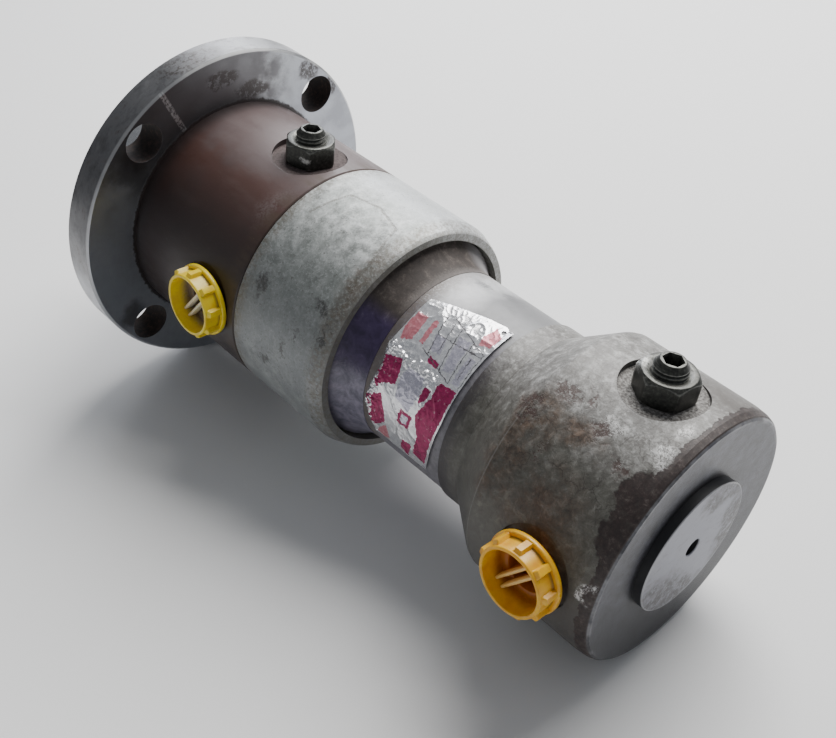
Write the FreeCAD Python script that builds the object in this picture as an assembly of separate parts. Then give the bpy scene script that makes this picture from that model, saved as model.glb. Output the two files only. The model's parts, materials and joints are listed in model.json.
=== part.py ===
import FreeCAD, Part
import math
import os

# Flanged semi-rotary hydraulic motor.  Units are millimetres.
# Origin: centre of the flange's mounting face.  +X runs along the body towards
# the rear head, +Z is the side of the adjusting screws, the ports face -Y.

V = FreeCAD.Vector
AXIS_X = V(1, 0, 0)
AXIS_Y = V(0, 1, 0)
AXIS_Z = V(0, 0, 1)
ORIGIN = V(0, 0, 0)

# ---- housing -------------------------------------------------------------
BODY_R = 50.0
FLANGE_R = 73.0
FLANGE_T = 15.0
PILOT_R = 45.0
PILOT_LENGTH = 4.0
BOLT_CIRCLE_R = 62.5
BOLT_HOLE_R = 8.5
BOLT_COUNT = 4
SEAM_X = 83.2
SPIGOT_R = 43.0
SPIGOT_END_X = 108.0
REGISTER_X = 103.2
REGISTER_R = 36.0
COLLAR_GAP = 0.3
COLLAR_CHAMFER_X = 128.5
COLLAR_END_X = 134.5
COLLAR_END_R = 47.5
COLLAR_LIP_R = 44.5
COLLAR_RECESS_X = 129.0
COLLAR_SHOULDER_X = 116.0
HUB_R = 44.0
HUB_TOP_X = 131.5
HUB_END_X = 146.0
HUB_FILLET_R = 20.0
HUB_SEAT_X = 139.0
LOCK_SCREW_X = 98.0
BARREL_R = 37.2
BARREL_BORE_R = 30.0
BARREL_STEP_X = 186.0
BARREL_SPIGOT_R = 34.0
BARREL_END_X = 196.0
REAR_NECK_R = 38.0
REAR_CONE_END_X = 212.0
REAR_CYLINDER_X = 213.5
REAR_TAPER_X = 258.5
REAR_RIM_X = 265.4
REAR_RIM_R = 47.85
CHAMBER_END_X = 206.0
CUSHION_BORE_R = 14.0
BOSS_R = 25.9
BOSS_BASE_X = 264.4
BOSS_FACE_X = 268.0
CENTRE_HOLE_R = 3.4
PLUG_SHANK_R = 18.0
PLUG_SHANK_X = 247.0

# ---- ports and adjusting screws -------------------------------------------
FRONT_STATION_X = 64.6
REAR_STATION_X = 240.9
SPOTFACE_R = 15.0
SPOTFACE_LEVEL = 47.7
PORT_R = 9.5
PORT_BOTTOM = 33.0
PASSAGE_R = 4.5
SCREW_R = 6.0
SCREW_HOLE_R = 6.05
SCREW_HOLE_BOTTOM = 38.0
SCREW_TOP = 61.2
SCREW_TIP_R = 4.3
SCREW_BODY_BOTTOM = 44.5
NEEDLE_R = 3.2
NEEDLE_SHOULDER = 39.5
NEEDLE_TIP_R = 1.7
NEEDLE_TIP_END = 35.5
NEEDLE_HOLE_R = 2.0
CROSS_DRILL_R = 1.5
CROSS_DRILL_REACH = 43.0
NUT_FLATS = 19.0
NUT_BOTTOM = 47.75
NUT_TOP = 57.0
FRONT_NUT_TURN = 19.0
REAR_NUT_TURN = 24.0
SEAL_POCKET_R = 7.8
SEAL_POCKET_DEPTH = 1.6

# ---- port caps --------------------------------------------------------------
CAP_FLANGE_R = 14.7
CAP_FLANGE_T = 2.0
CAP_RIM_R = 12.75
CAP_RIM_BORE_R = 11.4
CAP_HEIGHT = 8.6
CAP_SHANK_R = 9.2
CAP_SHANK_BORE_R = 7.6
CAP_SHANK_END = 38.5
FRONT_CAP_LEVEL = 50.0
REAR_CAP_LEVEL = 51.9
CAP_RIB_COUNT = 9
CAP_RIB_WIDTH = 2.4
CAP_RIB_R = 14.2
CAP_WEB_GAP = 3.4
CAP_WEB_T = 1.2
CAP_WEB_TURN = 53.0

# ---- shaft and its bearing ---------------------------------------------------
SHAFT_R = 17.5
OUTPUT_R = 16.0
OUTPUT_END_X = -8.0
SHAFT_FRONT_X = -58.0
KEYWAY_WIDTH = 10.0
KEYWAY_DEPTH = 5.0
KEYWAY_LENGTH = 36.0
RUNNING_FIT = 0.05
BUSH_R = 21.5
BUSH_X = 9.0
BUSH_END_X = 31.0
THRUST_CAVITY_X = 31.5
CAVITY_R = 28.5
SHAFT_COLLAR_R = 26.5
SHAFT_COLLAR_X = 33.7
SHAFT_COLLAR_END_X = 39.7
WASHER_T = 2.0
AXIAL_PLAY = 0.2
BEARING_NUT_END_X = 46.6
BEARING_NUT_BORE_R = 21.3
WIPER_POCKET_R = 26.0
WIPER_POCKET_X = 0.2
SEAL_POCKET_SHAFT_R = 25.0
SEAL_POCKET_SHAFT_X = 7.7

# ---- helical and straight splines ---------------------------------------------
HELIX_LEAD = 90.0
HELIX_STARTS = 6
HELIX_ROOT_R = 17.5
HELIX_TIP_R = 20.4
HELIX_TOOTH_DEG = 22.0
HELIX_CLEARANCE_DEG = 2.0
HELIX_RADIAL_GAP = 0.5
SHAFT_SPLINE_X = 42.0
SHAFT_SPLINE_END_X = 130.0
SHAFT_END_X = 132.0
STRAIGHT_TEETH = 8
STRAIGHT_ROOT_R = 24.6
STRAIGHT_TIP_R = 27.5
STRAIGHT_TOOTH_DEG = 21.0
STRAIGHT_CLEARANCE_DEG = 1.4
STRAIGHT_RADIAL_GAP = 0.4
SPLINE_RING_X = 86.0
RING_PIN_R = 2.0
RING_PIN_COUNT = 4

# ---- piston (rest position is the middle of the stroke) --------------------------
SLEEVE_X = 70.0
SLEEVE_HELIX_END_X = 105.0
SLEEVE_SPLINE_END_X = 130.0
SLEEVE_BORE_R = 21.1
SLEEVE_BORE_END_X = 158.0
PISTON_X = 148.0
PISTON_END_X = 175.0
PISTON_R = 29.6
PISTON_RING_R = BARREL_BORE_R - RUNNING_FIT
PLUNGER_R = 13.6
PLUNGER_END_X = 195.0
PLUNGER_SHANK_R = 8.0
PLUNGER_SHANK_X = 163.0

# ---- nameplate ---------------------------------------------------------------------
PLATE_X = 147.2
PLATE_END_X = 184.6
PLATE_T = 0.4
PLATE_START_DEG = 9.0
PLATE_END_DEG = 112.0


def turned(points):
    """Solid of revolution about X from (x, radius) points."""
    wire = Part.makePolygon([V(x, r, 0) for x, r in points + points[:1]])
    return Part.Face(wire).revolve(ORIGIN, AXIS_X, 360)


def ring(x_start, x_end, r_out, r_in):
    """Plain ring along X."""
    return rod_x(x_start, x_end, r_out).cut(rod_x(x_start - 1, x_end + 1, r_in))


def rod_x(x_start, x_end, radius, y=0.0, z=0.0):
    return Part.makeCylinder(radius, x_end - x_start, V(x_start, y, z), AXIS_X)


def rod_y(x, reach_in, reach_out, radius):
    """Cylinder on the port side, between two distances from the main axis."""
    return Part.makeCylinder(radius, reach_out - reach_in, V(x, -reach_in, 0), -AXIS_Y)


def rod_z(x, z_low, z_high, radius):
    return Part.makeCylinder(radius, z_high - z_low, V(x, 0, z_low), AXIS_Z)


def o_ring_x(x, ring_r, cord_r):
    return Part.makeTorus(ring_r, cord_r, V(x, 0, 0), AXIS_X)


def sector_tooth(x, r_in, r_out, width_deg):
    """Closed wire in the plane X = x, centred on +Z, between two radii."""
    def at(radius, deg):
        a = math.radians(deg)
        return V(x, radius * math.sin(a), radius * math.cos(a))

    half = width_deg / 2.0
    outer = Part.Arc(at(r_out, -half), at(r_out, 0), at(r_out, half)).toShape()
    inner = Part.Arc(at(r_in, half), at(r_in, 0), at(r_in, -half)).toShape()
    side_a = Part.makeLine(at(r_out, half), at(r_in, half))
    side_b = Part.makeLine(at(r_in, -half), at(r_out, -half))
    return Part.Wire([outer, side_a, inner, side_b])


def copies_about_x(shape, count):
    shapes = []
    for i in range(count):
        turned_copy = shape.copy()
        turned_copy.rotate(ORIGIN, AXIS_X, 360.0 * i / count)
        shapes.append(turned_copy)
    return shapes


def helical_teeth(x_start, x_end, r_in, r_out, width_deg):
    """Teeth swept along the common helix, one solid for each start.

    The angle of every tooth depends only on x, so teeth made for different
    stretches of the axis stay in mesh with each other.
    """
    path = Part.makeHelix(HELIX_LEAD, x_end - x_start, HELIX_ROOT_R)
    path.rotate(ORIGIN, AXIS_Y, 90)
    path.translate(V(x_start, 0, 0))
    profile = sector_tooth(x_start, r_in, r_out, width_deg)
    tooth = Part.Wire(path.Edges).makePipeShell([profile], True, True)
    tooth.rotate(ORIGIN, AXIS_X, 360.0 * x_start / HELIX_LEAD)
    return copies_about_x(tooth, HELIX_STARTS)


def station_cuts(x, port_passage_to, needle_hole_to):
    """Everything drilled at one pressure station: port, screw and passages."""
    port_seat = rod_y(x, SPOTFACE_LEVEL, BODY_R + 5, SPOTFACE_R)
    port = rod_y(x, PORT_BOTTOM, BODY_R, PORT_R)
    passage = rod_y(x, port_passage_to, PORT_BOTTOM + 1, PASSAGE_R)
    screw_seat = rod_z(x, SPOTFACE_LEVEL, BODY_R + 5, SPOTFACE_R)
    pocket = rod_z(x, SPOTFACE_LEVEL - SEAL_POCKET_DEPTH, BODY_R, SEAL_POCKET_R)
    screw_hole = rod_z(x, SCREW_HOLE_BOTTOM, BODY_R, SCREW_HOLE_R)
    needle_hole = rod_z(x, needle_hole_to, SCREW_HOLE_BOTTOM + 1, NEEDLE_HOLE_R)
    cross_length = CROSS_DRILL_REACH * math.sqrt(2)
    cross_drill = Part.makeCylinder(
        CROSS_DRILL_R, cross_length, V(x, -CROSS_DRILL_REACH, 0), V(0, 1, 1))
    return [port_seat, port, passage, screw_seat, pocket, screw_hole,
            needle_hole, cross_drill]


def cut_all(shape, tools):
    for tool in tools:
        shape = shape.cut(tool)
    return shape


def fuse_all(shape, others):
    return shape.multiFuse(others).removeSplitter()


def ring_pin_shapes():
    pin = rod_x(SPLINE_RING_X + 3, REGISTER_X, RING_PIN_R, z=REGISTER_R)
    pins = copies_about_x(pin, RING_PIN_COUNT)
    for piece in pins:
        piece.rotate(ORIGIN, AXIS_X, 45)
    return pins


def make_front_head():
    outer = turned([
        (-PILOT_LENGTH, 0), (-PILOT_LENGTH, PILOT_R - 0.8), (-PILOT_LENGTH + 0.8, PILOT_R),
        (0, PILOT_R), (0, FLANGE_R - 1), (1, FLANGE_R), (FLANGE_T - 1, FLANGE_R),
        (FLANGE_T, FLANGE_R - 1), (FLANGE_T, BODY_R), (SEAM_X - 0.5, BODY_R),
        (SEAM_X, BODY_R - 0.5), (SEAM_X, SPIGOT_R),
        (SPIGOT_END_X, SPIGOT_R), (SPIGOT_END_X, 0)])
    bore = turned([
        (-PILOT_LENGTH - 1, 0), (-PILOT_LENGTH - 1, WIPER_POCKET_R),
        (WIPER_POCKET_X, WIPER_POCKET_R), (WIPER_POCKET_X, SEAL_POCKET_SHAFT_R),
        (SEAL_POCKET_SHAFT_X, SEAL_POCKET_SHAFT_R), (SEAL_POCKET_SHAFT_X, SHAFT_R + 1.5),
        (BUSH_X, SHAFT_R + 1.5), (BUSH_X, BUSH_R), (THRUST_CAVITY_X, BUSH_R),
        (THRUST_CAVITY_X, CAVITY_R), (SPLINE_RING_X, CAVITY_R),
        (SPLINE_RING_X, REGISTER_R), (SPIGOT_END_X + 1, REGISTER_R),
        (SPIGOT_END_X + 1, 0)])
    head = outer.cut(bore)
    hole = rod_x(-1, FLANGE_T + 1, BOLT_HOLE_R, z=BOLT_CIRCLE_R)
    holes = copies_about_x(hole, BOLT_COUNT)
    for item in holes:
        item.rotate(ORIGIN, AXIS_X, 45)
    head = cut_all(head, holes)
    head = cut_all(head, station_cuts(FRONT_STATION_X, CAVITY_R - 2, CAVITY_R - 2))
    return cut_all(head, ring_pin_shapes())


def make_collar():
    """Clamping collar; its hub curves down onto the barrel inside the lip."""
    bore_r = BARREL_R + 0.3
    sleeve = turned([
        (SEAM_X + COLLAR_GAP, BODY_R - 0.5), (SEAM_X + COLLAR_GAP + 0.5, BODY_R),
        (COLLAR_CHAMFER_X, BODY_R), (COLLAR_END_X - 1.5, COLLAR_END_R + 0.9),
        (COLLAR_END_X, COLLAR_END_R), (COLLAR_END_X, COLLAR_LIP_R),
        (COLLAR_RECESS_X, COLLAR_LIP_R), (COLLAR_RECESS_X, bore_r),
        (COLLAR_SHOULDER_X, bore_r), (COLLAR_SHOULDER_X, SPIGOT_R),
        (SEAM_X + COLLAR_GAP, SPIGOT_R)])
    hub = turned([
        (COLLAR_RECESS_X - 1, bore_r), (COLLAR_RECESS_X - 1, HUB_R), (HUB_TOP_X, HUB_R),
        (HUB_END_X, HUB_R), (HUB_END_X, BARREL_R), (HUB_SEAT_X, BARREL_R), (HUB_SEAT_X, bore_r)])
    hollow = Part.makeTorus(BARREL_R + 0.2 + HUB_FILLET_R, HUB_FILLET_R, V(HUB_END_X, 0, 0), AXIS_X)
    collar = fuse_all(sleeve, [hub.cut(hollow)])
    return collar.cut(rod_z(LOCK_SCREW_X, -BODY_R - 1, -SPIGOT_R, 3.0))


def make_collar_lock_screw():
    top = -BODY_R + 0.9
    screw = rod_z(LOCK_SCREW_X, top, -SPIGOT_R, 3.0)
    socket = hex_prism(3.0, 2.2)
    socket.translate(V(LOCK_SCREW_X, 0, top))
    return screw.cut(socket)


def make_barrel():
    barrel = turned([
        (REGISTER_X, BARREL_BORE_R), (REGISTER_X, REGISTER_R), (SPIGOT_END_X, REGISTER_R),
        (SPIGOT_END_X, SPIGOT_R - 0.4), (COLLAR_SHOULDER_X, SPIGOT_R - 0.4),
        (COLLAR_SHOULDER_X, BARREL_R), (BARREL_STEP_X, BARREL_R),
        (BARREL_STEP_X, BARREL_SPIGOT_R), (BARREL_END_X, BARREL_SPIGOT_R),
        (BARREL_END_X, BARREL_BORE_R)])
    return barrel.cut(ring(SPIGOT_END_X - 3.6, SPIGOT_END_X - 1.0, REGISTER_R + 1, REGISTER_R - 1.9))


def make_rear_head():
    outer = turned([
        (BARREL_STEP_X + 0.3, 0), (BARREL_STEP_X + 0.3, REAR_NECK_R - 0.3),
        (BARREL_STEP_X + 0.6, REAR_NECK_R), (BARREL_END_X, REAR_NECK_R),
        (REAR_CONE_END_X, BODY_R - 0.5), (REAR_CYLINDER_X, BODY_R), (REAR_TAPER_X, BODY_R),
        (REAR_TAPER_X + 3.8, BODY_R - 0.4), (REAR_RIM_X - 1.0, REAR_RIM_R + 1.05),
        (REAR_RIM_X, REAR_RIM_R), (REAR_RIM_X, REAR_RIM_R - 0.8),
        (BOSS_BASE_X, BOSS_R + 0.5), (BOSS_BASE_X, 0)])
    bore = turned([
        (BARREL_STEP_X, 0), (BARREL_STEP_X, BARREL_SPIGOT_R), (BARREL_END_X, BARREL_SPIGOT_R),
        (BARREL_END_X, BARREL_BORE_R), (CHAMBER_END_X, BARREL_BORE_R),
        (CHAMBER_END_X, CUSHION_BORE_R + 1), (CHAMBER_END_X + 1, CUSHION_BORE_R),
        (PLUG_SHANK_X, CUSHION_BORE_R), (PLUG_SHANK_X, PLUG_SHANK_R),
        (BOSS_BASE_X + 1, PLUG_SHANK_R), (BOSS_BASE_X + 1, 0)])
    head = outer.cut(bore)
    needle_level = 25.0
    head = cut_all(head, station_cuts(REAR_STATION_X, CUSHION_BORE_R - 3, needle_level))
    bypass = rod_x(CHAMBER_END_X - 1, REAR_STATION_X, NEEDLE_HOLE_R, z=needle_level)
    return head.cut(bypass)


def make_end_plug():
    plug = turned([
        (PLUG_SHANK_X, 0), (PLUG_SHANK_X, PLUG_SHANK_R - 1), (PLUG_SHANK_X + 1, PLUG_SHANK_R),
        (BOSS_BASE_X, PLUG_SHANK_R), (BOSS_BASE_X, BOSS_R), (BOSS_FACE_X - 0.3, BOSS_R),
        (BOSS_FACE_X, BOSS_R - 0.3), (BOSS_FACE_X, 0)])
    groove = ring(PLUG_SHANK_X + 3.2, PLUG_SHANK_X + 5.8, PLUG_SHANK_R + 1, PLUG_SHANK_R - 2.5)
    centre_hole = turned([
        (BOSS_FACE_X - 7, 0), (BOSS_FACE_X - 7, CENTRE_HOLE_R),
        (BOSS_FACE_X - 0.3, CENTRE_HOLE_R), (BOSS_FACE_X + 0.1, CENTRE_HOLE_R + 0.4),
        (BOSS_FACE_X + 0.1, 0)])
    return plug.cut(groove).cut(centre_hole)


def hex_prism(flats, height):
    """Hexagonal prism from z = 0 upwards, with one corner on +X."""
    corner_r = flats / math.sqrt(3)
    corners = []
    for i in range(7):
        a = math.radians(60 * i)
        corners.append(V(corner_r * math.cos(a), corner_r * math.sin(a), 0))
    return Part.Face(Part.makePolygon(corners)).extrude(V(0, 0, height))


def make_lock_nut(x, turn_deg):
    height = NUT_TOP - NUT_BOTTOM
    flat_r = NUT_FLATS / 2.0
    corner_r = NUT_FLATS / math.sqrt(3)
    nut = hex_prism(NUT_FLATS, height)
    drop = 0.8
    envelope = Part.Face(Part.makePolygon([
        V(0, 0, 0), V(flat_r, 0, 0), V(corner_r, 0, drop), V(corner_r, 0, height - drop),
        V(flat_r - 0.4, 0, height), V(0, 0, height), V(0, 0, 0)])).revolve(ORIGIN, AXIS_Z, 360)
    nut = nut.common(envelope)
    nut.rotate(ORIGIN, AXIS_Z, turn_deg)
    nut.translate(V(x, 0, NUT_BOTTOM))
    return nut.cut(rod_z(x, NUT_BOTTOM - 1, NUT_TOP + 1, SCREW_HOLE_R))


def make_adjusting_screw(x):
    profile = [
        V(0, 0, NEEDLE_TIP_END), V(NEEDLE_TIP_R - 0.8, 0, NEEDLE_TIP_END),
        V(NEEDLE_TIP_R, 0, NEEDLE_TIP_END + 1.2), V(NEEDLE_TIP_R, 0, NEEDLE_SHOULDER),
        V(NEEDLE_R, 0, NEEDLE_SHOULDER + 1.2), V(NEEDLE_R, 0, SCREW_BODY_BOTTOM - 1),
        V(SCREW_R, 0, SCREW_BODY_BOTTOM), V(SCREW_R, 0, SCREW_TOP - 2.0),
        V(SCREW_TIP_R, 0, SCREW_TOP), V(0, 0, SCREW_TOP), V(0, 0, NEEDLE_TIP_END)]
    screw = Part.Face(Part.makePolygon(profile)).revolve(ORIGIN, AXIS_Z, 360)
    socket = hex_prism(6.0, 8.0)
    socket.translate(V(0, 0, SCREW_TOP - 7.0))
    screw = screw.cut(socket)
    screw.translate(V(x, 0, 0))
    return screw


def make_screw_seal(x):
    cord_r = 0.75
    level = SPOTFACE_LEVEL - SEAL_POCKET_DEPTH + cord_r
    return Part.makeTorus(SCREW_HOLE_R + cord_r, cord_r, V(x, 0, level), AXIS_Z)


def make_port_cap(x, level):
    """Threaded plastic port plug; level is the inner face of its flange."""
    top = level + CAP_HEIGHT
    flange = rod_y(x, level, level + CAP_FLANGE_T, CAP_FLANGE_R)
    rim = rod_y(x, level, top, CAP_RIM_R)
    shank = rod_y(x, CAP_SHANK_END, level + 1, CAP_SHANK_R)
    ribs = []
    for i in range(CAP_RIB_COUNT):
        rib = Part.makeBox(CAP_RIB_R - CAP_RIM_R + 1.5, CAP_HEIGHT - 1.0, CAP_RIB_WIDTH)
        rib.translate(V(CAP_RIM_R - 1.5, -CAP_HEIGHT + 1.0, -CAP_RIB_WIDTH / 2))
        rib.rotate(ORIGIN, AXIS_Y, 360.0 * i / CAP_RIB_COUNT + 12)
        rib.translate(V(x, -level, 0))
        ribs.append(rib)
    cap = fuse_all(flange, [rim, shank] + ribs)
    cap = cap.cut(rod_y(x, level + 0.2, top + 1, CAP_RIM_BORE_R))
    cap = cap.cut(rod_y(x, CAP_SHANK_END + 2, level + 1, CAP_SHANK_BORE_R))
    mouth = rod_y(x, CAP_SHANK_END + 1.5, top, CAP_RIM_BORE_R + 0.4)
    webs = []
    for side in (-1, 1):
        web = Part.makeBox(2 * CAP_RIM_R, level + 4.2 - CAP_SHANK_END - 1.5, CAP_WEB_T)
        web.translate(V(-CAP_RIM_R, -(level + 4.2), side * CAP_WEB_GAP / 2 - CAP_WEB_T / 2))
        web.rotate(ORIGIN, AXIS_Y, -CAP_WEB_TURN)
        web.translate(V(x, 0, 0))
        neck = rod_y(x, CAP_SHANK_END + 1, level + 0.7, CAP_SHANK_BORE_R + 0.4)
        wide = rod_y(x, level + 0.1, top, CAP_RIM_BORE_R + 0.4)
        webs.append(web.common(mouth).common(neck.fuse(wide)))
    return fuse_all(cap, webs)


def make_output_shaft():
    blank = turned([
        (SHAFT_FRONT_X, 0), (SHAFT_FRONT_X, OUTPUT_R - 1.5), (SHAFT_FRONT_X + 1.5, OUTPUT_R),
        (OUTPUT_END_X, OUTPUT_R), (OUTPUT_END_X, SHAFT_R - 0.5), (OUTPUT_END_X + 0.5, SHAFT_R),
        (SHAFT_COLLAR_X, SHAFT_R), (SHAFT_COLLAR_X, SHAFT_COLLAR_R),
        (SHAFT_COLLAR_END_X, SHAFT_COLLAR_R), (SHAFT_COLLAR_END_X, HELIX_ROOT_R),
        (SHAFT_END_X - 1, HELIX_ROOT_R), (SHAFT_END_X, HELIX_ROOT_R - 1), (SHAFT_END_X, 0)])
    teeth = helical_teeth(SHAFT_SPLINE_X, SHAFT_SPLINE_END_X, HELIX_ROOT_R - 1,
                          HELIX_TIP_R, HELIX_TOOTH_DEG)
    shaft = blank.multiFuse(teeth)
    keyway_floor = OUTPUT_R - KEYWAY_DEPTH
    keyway = Part.makeBox(KEYWAY_LENGTH - KEYWAY_WIDTH, KEYWAY_WIDTH, 20)
    keyway.translate(V(SHAFT_FRONT_X + 9, -KEYWAY_WIDTH / 2, keyway_floor))
    for x in (SHAFT_FRONT_X + 9, SHAFT_FRONT_X + 9 + KEYWAY_LENGTH - KEYWAY_WIDTH):
        keyway = keyway.fuse(rod_z(x, keyway_floor, keyway_floor + 20, KEYWAY_WIDTH / 2))
    keyway.rotate(ORIGIN, AXIS_X, -90)
    shaft = shaft.cut(keyway)
    centre = turned([
        (SHAFT_FRONT_X - 1, 0), (SHAFT_FRONT_X - 1, 5.2), (SHAFT_FRONT_X + 1, 4.2),
        (SHAFT_FRONT_X + 20, 4.2), (SHAFT_FRONT_X + 22, 0)])
    return shaft.cut(centre)


def make_piston():
    blank = turned([
        (SLEEVE_X, 0), (SLEEVE_X, STRAIGHT_ROOT_R - 0.5), (SLEEVE_X + 0.5, STRAIGHT_ROOT_R),
        (PISTON_X, STRAIGHT_ROOT_R), (PISTON_X, PISTON_R - 0.8), (PISTON_X + 0.8, PISTON_R),
        (PISTON_END_X - 0.8, PISTON_R), (PISTON_END_X, PISTON_R - 0.8), (PISTON_END_X, 0)])
    tooth_wire = sector_tooth(SLEEVE_X + 1, STRAIGHT_ROOT_R - 1, STRAIGHT_TIP_R,
                              STRAIGHT_TOOTH_DEG)
    tooth = Part.Face(tooth_wire).extrude(V(SLEEVE_SPLINE_END_X - SLEEVE_X - 1, 0, 0))
    body = blank.multiFuse(copies_about_x(tooth, STRAIGHT_TEETH))
    bore = turned([
        (SLEEVE_X - 1, 0), (SLEEVE_X - 1, HELIX_ROOT_R + HELIX_RADIAL_GAP),
        (SLEEVE_HELIX_END_X, HELIX_ROOT_R + HELIX_RADIAL_GAP),
        (SLEEVE_HELIX_END_X, SLEEVE_BORE_R), (SLEEVE_BORE_END_X, SLEEVE_BORE_R),
        (SLEEVE_BORE_END_X, 0)])
    body = body.cut(bore)
    grooves = helical_teeth(SLEEVE_X - 1, SLEEVE_HELIX_END_X + 1, HELIX_ROOT_R - 1,
                            HELIX_TIP_R + HELIX_RADIAL_GAP,
                            HELIX_TOOTH_DEG + 2 * HELIX_CLEARANCE_DEG)
    body = cut_all(body, grooves)
    body = body.cut(ring(PISTON_X + 2, PISTON_X + 7.5, PISTON_R + 1, 28.0))
    body = body.cut(ring(PISTON_X + 10.5, PISTON_X + 15, PISTON_R + 1, 26.0))
    body = body.cut(ring(PISTON_X + 18, PISTON_X + 23.5, PISTON_R + 1, 28.0))
    return body.cut(rod_x(PLUNGER_SHANK_X, PISTON_END_X + 1, PLUNGER_SHANK_R))


def make_cushion_plunger():
    return turned([
        (PLUNGER_SHANK_X, 0), (PLUNGER_SHANK_X, PLUNGER_SHANK_R),
        (PISTON_END_X, PLUNGER_SHANK_R), (PISTON_END_X, PLUNGER_R),
        (PLUNGER_END_X - 3, PLUNGER_R), (PLUNGER_END_X, PLUNGER_R - 1.5), (PLUNGER_END_X, 0)])


def make_spline_ring():
    blank = ring(SPLINE_RING_X, REGISTER_X, REGISTER_R, STRAIGHT_ROOT_R + STRAIGHT_RADIAL_GAP)
    groove_wire = sector_tooth(SPLINE_RING_X - 1, STRAIGHT_ROOT_R - 1,
                               STRAIGHT_TIP_R + STRAIGHT_RADIAL_GAP,
                               STRAIGHT_TOOTH_DEG + 2 * STRAIGHT_CLEARANCE_DEG)
    groove = Part.Face(groove_wire).extrude(V(REGISTER_X - SPLINE_RING_X + 2, 0, 0))
    blank = cut_all(blank, copies_about_x(groove, STRAIGHT_TEETH))
    return cut_all(blank, ring_pin_shapes())


def make_shaft_seal():
    lip_r = SHAFT_R + RUNNING_FIT
    case_r = SEAL_POCKET_SHAFT_R - 1.2
    return turned([
        (WIPER_POCKET_X, SEAL_POCKET_SHAFT_R), (SEAL_POCKET_SHAFT_X, SEAL_POCKET_SHAFT_R),
        (SEAL_POCKET_SHAFT_X, case_r), (WIPER_POCKET_X + 1.4, case_r),
        (WIPER_POCKET_X + 1.4, lip_r + 1.6), (SEAL_POCKET_SHAFT_X - 1.5, lip_r + 1.3),
        (SEAL_POCKET_SHAFT_X - 1.8, lip_r), (WIPER_POCKET_X, lip_r + 0.9)])


def make_shaft_wiper():
    lip_r = SHAFT_R + RUNNING_FIT
    return turned([
        (-3.6, WIPER_POCKET_R), (WIPER_POCKET_X, WIPER_POCKET_R), (WIPER_POCKET_X, lip_r + 1.0),
        (-2.4, lip_r + 0.9), (-3.8, lip_r), (-4.6, lip_r + 0.4), (-3.6, lip_r + 3.2)])


def make_nameplate():
    sweep = PLATE_END_DEG - PLATE_START_DEG
    section = Part.makePolygon([
        V(PLATE_X, 0, BARREL_R), V(PLATE_END_X, 0, BARREL_R),
        V(PLATE_END_X, 0, BARREL_R + PLATE_T), V(PLATE_X, 0, BARREL_R + PLATE_T),
        V(PLATE_X, 0, BARREL_R)])
    plate = Part.Face(section).revolve(ORIGIN, AXIS_X, sweep)
    plate.rotate(ORIGIN, AXIS_X, PLATE_START_DEG)
    return plate


def make_bearing_rings():
    """The two thrust washers and the nut that holds them in the head."""
    front_x = SHAFT_COLLAR_X - AXIAL_PLAY - WASHER_T
    rear_x = SHAFT_COLLAR_END_X + AXIAL_PLAY
    nut_x = rear_x + WASHER_T
    return {
        "front_thrust_washer": ring(front_x, front_x + WASHER_T, CAVITY_R, SHAFT_R + 0.4),
        "rear_thrust_washer": ring(rear_x, nut_x, CAVITY_R, BEARING_NUT_BORE_R),
        "bearing_nut": ring(nut_x, BEARING_NUT_END_X, CAVITY_R, BEARING_NUT_BORE_R),
    }


nodes = {
    "front_head": make_front_head(),
    "collar": make_collar(),
    "collar_lock_screw": make_collar_lock_screw(),
    "barrel": make_barrel(),
    "barrel_o_ring": o_ring_x(SPIGOT_END_X - 2.3, REGISTER_R - 0.95, 0.95),
    "rear_head": make_rear_head(),
    "end_plug": make_end_plug(),
    "end_plug_o_ring": o_ring_x(PLUG_SHANK_X + 4.5, PLUG_SHANK_R - 1.25, 1.25),
    "nameplate": make_nameplate(),
    "front_port_cap": make_port_cap(FRONT_STATION_X, FRONT_CAP_LEVEL),
    "rear_port_cap": make_port_cap(REAR_STATION_X, REAR_CAP_LEVEL),
    "front_adjusting_screw": make_adjusting_screw(FRONT_STATION_X),
    "rear_adjusting_screw": make_adjusting_screw(REAR_STATION_X),
    "front_lock_nut": make_lock_nut(FRONT_STATION_X, FRONT_NUT_TURN),
    "rear_lock_nut": make_lock_nut(REAR_STATION_X, REAR_NUT_TURN),
    "front_screw_seal": make_screw_seal(FRONT_STATION_X),
    "rear_screw_seal": make_screw_seal(REAR_STATION_X),
    "output_shaft": make_output_shaft(),
    "front_bushing": ring(BUSH_X, BUSH_END_X, BUSH_R, SHAFT_R + RUNNING_FIT),
    "shaft_seal": make_shaft_seal(),
    "shaft_wiper": make_shaft_wiper(),
    "spline_ring": make_spline_ring(),
    "spline_ring_pins": Part.makeCompound(ring_pin_shapes()),
    "piston": make_piston(),
    "piston_guide_bands": Part.makeCompound([
        ring(PISTON_X + 2, PISTON_X + 7.5, PISTON_RING_R, 28.0),
        ring(PISTON_X + 18, PISTON_X + 23.5, PISTON_RING_R, 28.0)]),
    "piston_seal": ring(PISTON_X + 10.5, PISTON_X + 15, PISTON_RING_R, 26.0),
    "cushion_plunger": make_cushion_plunger(),
}
nodes.update(make_bearing_rings())

os.makedirs("parts", exist_ok=True)
for name, shape in nodes.items():
    shape.exportStep("parts/" + name + ".step")
    print(name, shape.ShapeType, "solids", len(shape.Solids), "valid", shape.isValid(),
          "volume", round(shape.Volume, 1))
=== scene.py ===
import json
import math
import random

import bmesh
import bpy
from mathutils import Matrix, Vector, noise


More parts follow.
